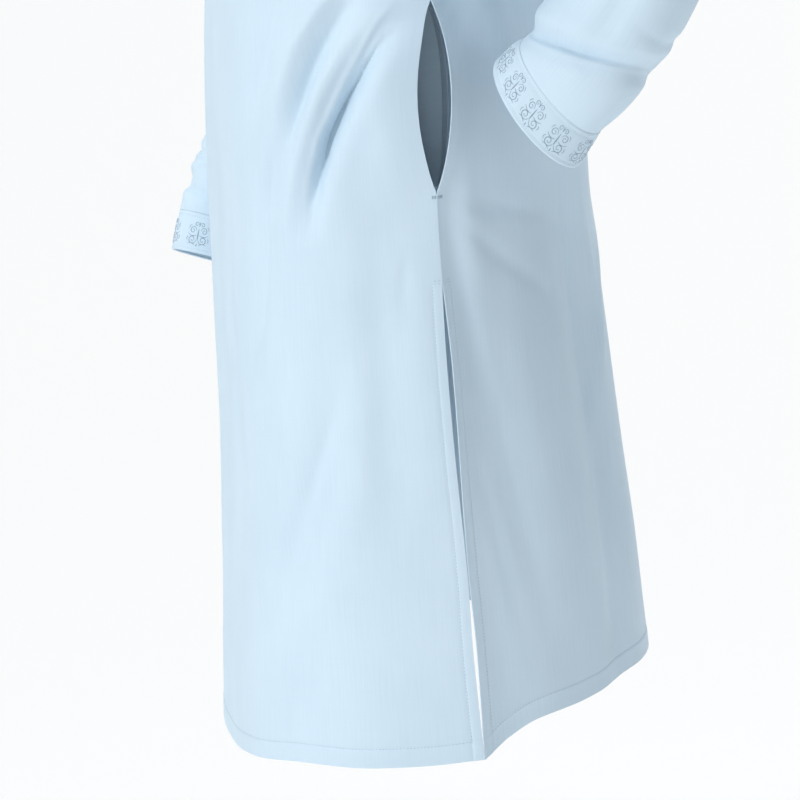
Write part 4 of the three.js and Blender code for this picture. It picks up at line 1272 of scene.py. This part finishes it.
def woven(name, colour, shade, thread):
    material, tree, shader = new_material(name)
    coords = node(tree, "ShaderNodeTexCoord", {}).outputs["UV"]
    tone, noises, waves = 0.0, [], []
    for stretch, detail, weight in UNEVENNESS:
        place = node(tree, "ShaderNodeMapping", {"Vector": coords, "Scale": stretch})
        noise = node(tree, "ShaderNodeTexNoise",
                     {"Vector": place.outputs["Vector"], "Scale": 1.0, "Detail": detail})
        noises.append(noise.outputs["Fac"])
        parts = {0: noises[-1], 1: weight, 2: tone}
        tone = node(tree, "ShaderNodeMath", parts, operation="MULTIPLY_ADD").outputs[0]
    share = node(tree, "ShaderNodeMapRange", {"Value": tone, "From Min": 0.3, "From Max": 0.9})
    tones = {"Factor": share.outputs["Result"], "A": linear(shade), "B": linear(colour)}
    cloth_colour = node(tree, "ShaderNodeMix", tones, data_type="RGBA").outputs["Result"]
    for direction in ("X", "Y"):
        bands = {"Vector": coords, "Scale": WAVE_PERIOD / thread, "Distortion": 0.6, "Detail": 1.0}
        wave = node(tree, "ShaderNodeTexWave", bands, bands_direction=direction)
        waves.append(wave.outputs["Fac"])
    crossing = node(tree, "ShaderNodeMath", dict(enumerate(waves)), operation="MULTIPLY")
    relief = node(tree, "ShaderNodeMath", {0: noises[0], 1: 1.2, 2: crossing.outputs[0]},
                  operation="MULTIPLY_ADD")
    bump = node(tree, "ShaderNodeBump",
                {"Height": relief.outputs[0], "Strength": 0.2, "Distance": 0.00012})
    feed(tree, shader, {
        "Base Color": cloth_colour, "Normal": bump.outputs["Normal"], "Roughness": 0.78,
        "Specular IOR Level": 0.28, "Sheen Weight": 0.22, "Sheen Roughness": 0.45,
        "Sheen Tint": linear("#eaf5fc"),
    })
    return material


cotton = woven("pale blue cotton poplin", "#d3e6f3", "#c8dcea", 0.00042)
pocketing = woven("pale cotton pocketing", "#b9cedc", "#adc3d2", 0.0006)
print("cloth:", cotton.name, "and", pocketing.name)

# %% [markdown]
# Embroidery silk is smooth, so satin stitch has a gloss that the cloth hasn't. Sewing thread is
# duller. The buttons are cast polyester with a pearly cloud in it and a polished coat. All
# three are two close tones mixed by noise on Object coordinates: fibres about a millimetre long
# in thread, clouds of some four millimetres in a button.

# %% Thread and buttons
def mottled(name, colour, shade, scale, detail, finish):
    material, tree, shader = new_material(name)
    coords = node(tree, "ShaderNodeTexCoord", {}).outputs["Object"]
    noise = node(tree, "ShaderNodeTexNoise",
                 {"Vector": coords, "Scale": scale, "Detail": detail}).outputs["Fac"]
    tones = {"Factor": noise, "A": linear(shade), "B": linear(colour)}
    mixed = node(tree, "ShaderNodeMix", tones, data_type="RGBA").outputs["Result"]
    feed(tree, shader, {"Base Color": mixed, **finish})
    return material


satin = mottled("grey blue embroidery silk", "#9aafbf", "#7b93a5", 900.0, 2.0,
                {"Roughness": 0.42, "Sheen Weight": 0.2})
sewing = mottled("pale blue sewing thread", "#b6c9d8", "#96adbe", 900.0, 2.0,
                 {"Roughness": 0.6, "Sheen Weight": 0.2})
pearl = mottled("pearly shirt button", "#f4f8fa", "#dfe8ee", 260.0, 3.0,
                {"Roughness": 0.22, "Coat Weight": 0.4})
print("thread and buttons:", satin.name, sewing.name, pearl.name, sep=", ")

# %% [markdown]
# ## Finishing the pieces
# Each CAD solid is replaced by its cloth, and all of it rides the one body.

# %% Finish each piece
def finish_piece(piece, material, slot, *nodes):
    piece.data.materials.clear()
    piece.data.materials.append(material)
    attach(piece, "root")
    if nodes:
        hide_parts(*nodes)


finish_piece(panels["front"], cotton, "cloth", "front_panel")
finish_piece(panels["back"], cotton, "cloth", "back_panel")
finish_piece(placket, cotton, "cloth", "placket")
finish_piece(neck_band, cotton, "cloth", "neck_band")
finish_piece(bag, pocketing, "pocketing", "pocket_bag_left")
for name in ("left", "right"):
    finish_piece(sleeves[name], cotton, "cloth", f"sleeve_{name}")
    finish_piece(cuffs[name], cotton, "cuff_cloth", f"cuff_{name}")
    finish_piece(embroidery[name], satin, None)
for row in seams.values():
    finish_piece(row, sewing, None)
for index, (button, thread) in enumerate(buttons):
    finish_piece(button, pearl, "button", f"button_{index + 1}")
    finish_piece(thread, sewing, None)

# %% The finished sheets
print("sheets finished")

# %% [markdown]
# ## Studio
# The garment is held up by its wearer, so a plain white floor lies well below it. Pale cloth on
# white needs soft light with a clear direction: a key from the front, which leaves the back panel
# in shade, a wide one from above for the floor, and a weak fill from the far side. The sky is
# bright only near the horizon, where it is the background, so that it doesn't wash the shade out.

# %% Floor and lights
FLOOR_Z = -1.45
bpy.ops.object.select_all(action="DESELECT")
bpy.ops.mesh.primitive_plane_add(size=60, location=(0, 0, FLOOR_Z))
floor = bpy.context.object
floor.name = "studio_floor"
paper, tree, shader = new_material("white studio paper")
feed(tree, shader, {"Base Color": linear("#fdfdfd"), "Roughness": 0.9})
floor.data.materials.append(paper)

world = bpy.data.worlds.new("studio")
bpy.context.scene.world = world
world.use_nodes = True
sky = world.node_tree
way = node(sky, "ShaderNodeTexCoord", {}).outputs["Generated"]
height = node(sky, "ShaderNodeSeparateXYZ", {"Vector": way}).outputs["Z"]
glow = node(sky, "ShaderNodeMapRange",
            {"Value": height, "From Min": 0.09, "From Max": 0.2, "To Min": 1.2, "To Max": 0.06},
            interpolation_type="SMOOTHSTEP")
feed(sky, sky.nodes["Background"],
     {"Strength": glow.outputs["Result"], "Color": linear("#e6f0fa")})


def soft_light(name, away, spread, strength):
    """A wide soft light from one side: away points from the garment towards it."""
    light = bpy.data.lights.new(name, "SUN")
    light.energy = strength
    light.angle = math.radians(spread)
    lamp = add_object(name, light)
    lamp.rotation_euler = Vector(away).to_track_quat("Z", "Y").to_euler()


soft_light("top", (0.1, 0.0, 1.0), 50, 2.2)
soft_light("key", (0.55, -1.0, 0.42), 24, 1.42)
soft_light("side fill", (-1.0, 0.5, 0.4), 40, 0.6)
print("floor at", FLOOR_Z, "m and three soft lights")

# %% [markdown]
# ## Camera
# The camera stands on the wearer's left, slightly in front and above, and frames the garment
# from the waist to just under its hem. A long lens from three metres keeps the long straight
# edges nearly parallel.

# %% Camera
AZIMUTH, ELEVATION, ROLL = 80.0, 10.0, -3.0
DISTANCE, TARGET = 3.0, Vector((0, 0, -0.770))
a, e = math.radians(AZIMUTH), math.radians(ELEVATION)
away = Vector((math.sin(a) * math.cos(e), -math.cos(a) * math.cos(e), math.sin(e)))
camera_data = bpy.data.cameras.new("camera")
camera_data.sensor_width = 36
camera_data.lens = 142.24
camera_data.clip_end = 200
camera = add_object("camera", camera_data)
camera.location = TARGET + away * DISTANCE
facing = (-away).to_track_quat("-Z", "Y").to_matrix().to_4x4()
turn = facing @ Matrix.Rotation(math.radians(ROLL), 4, "Z")
camera.rotation_euler = turn.to_euler()
bpy.context.scene.camera = camera
bpy.context.scene.view_settings.view_transform = "Standard"
print("camera at", tuple(round(v, 3) for v in camera.location))
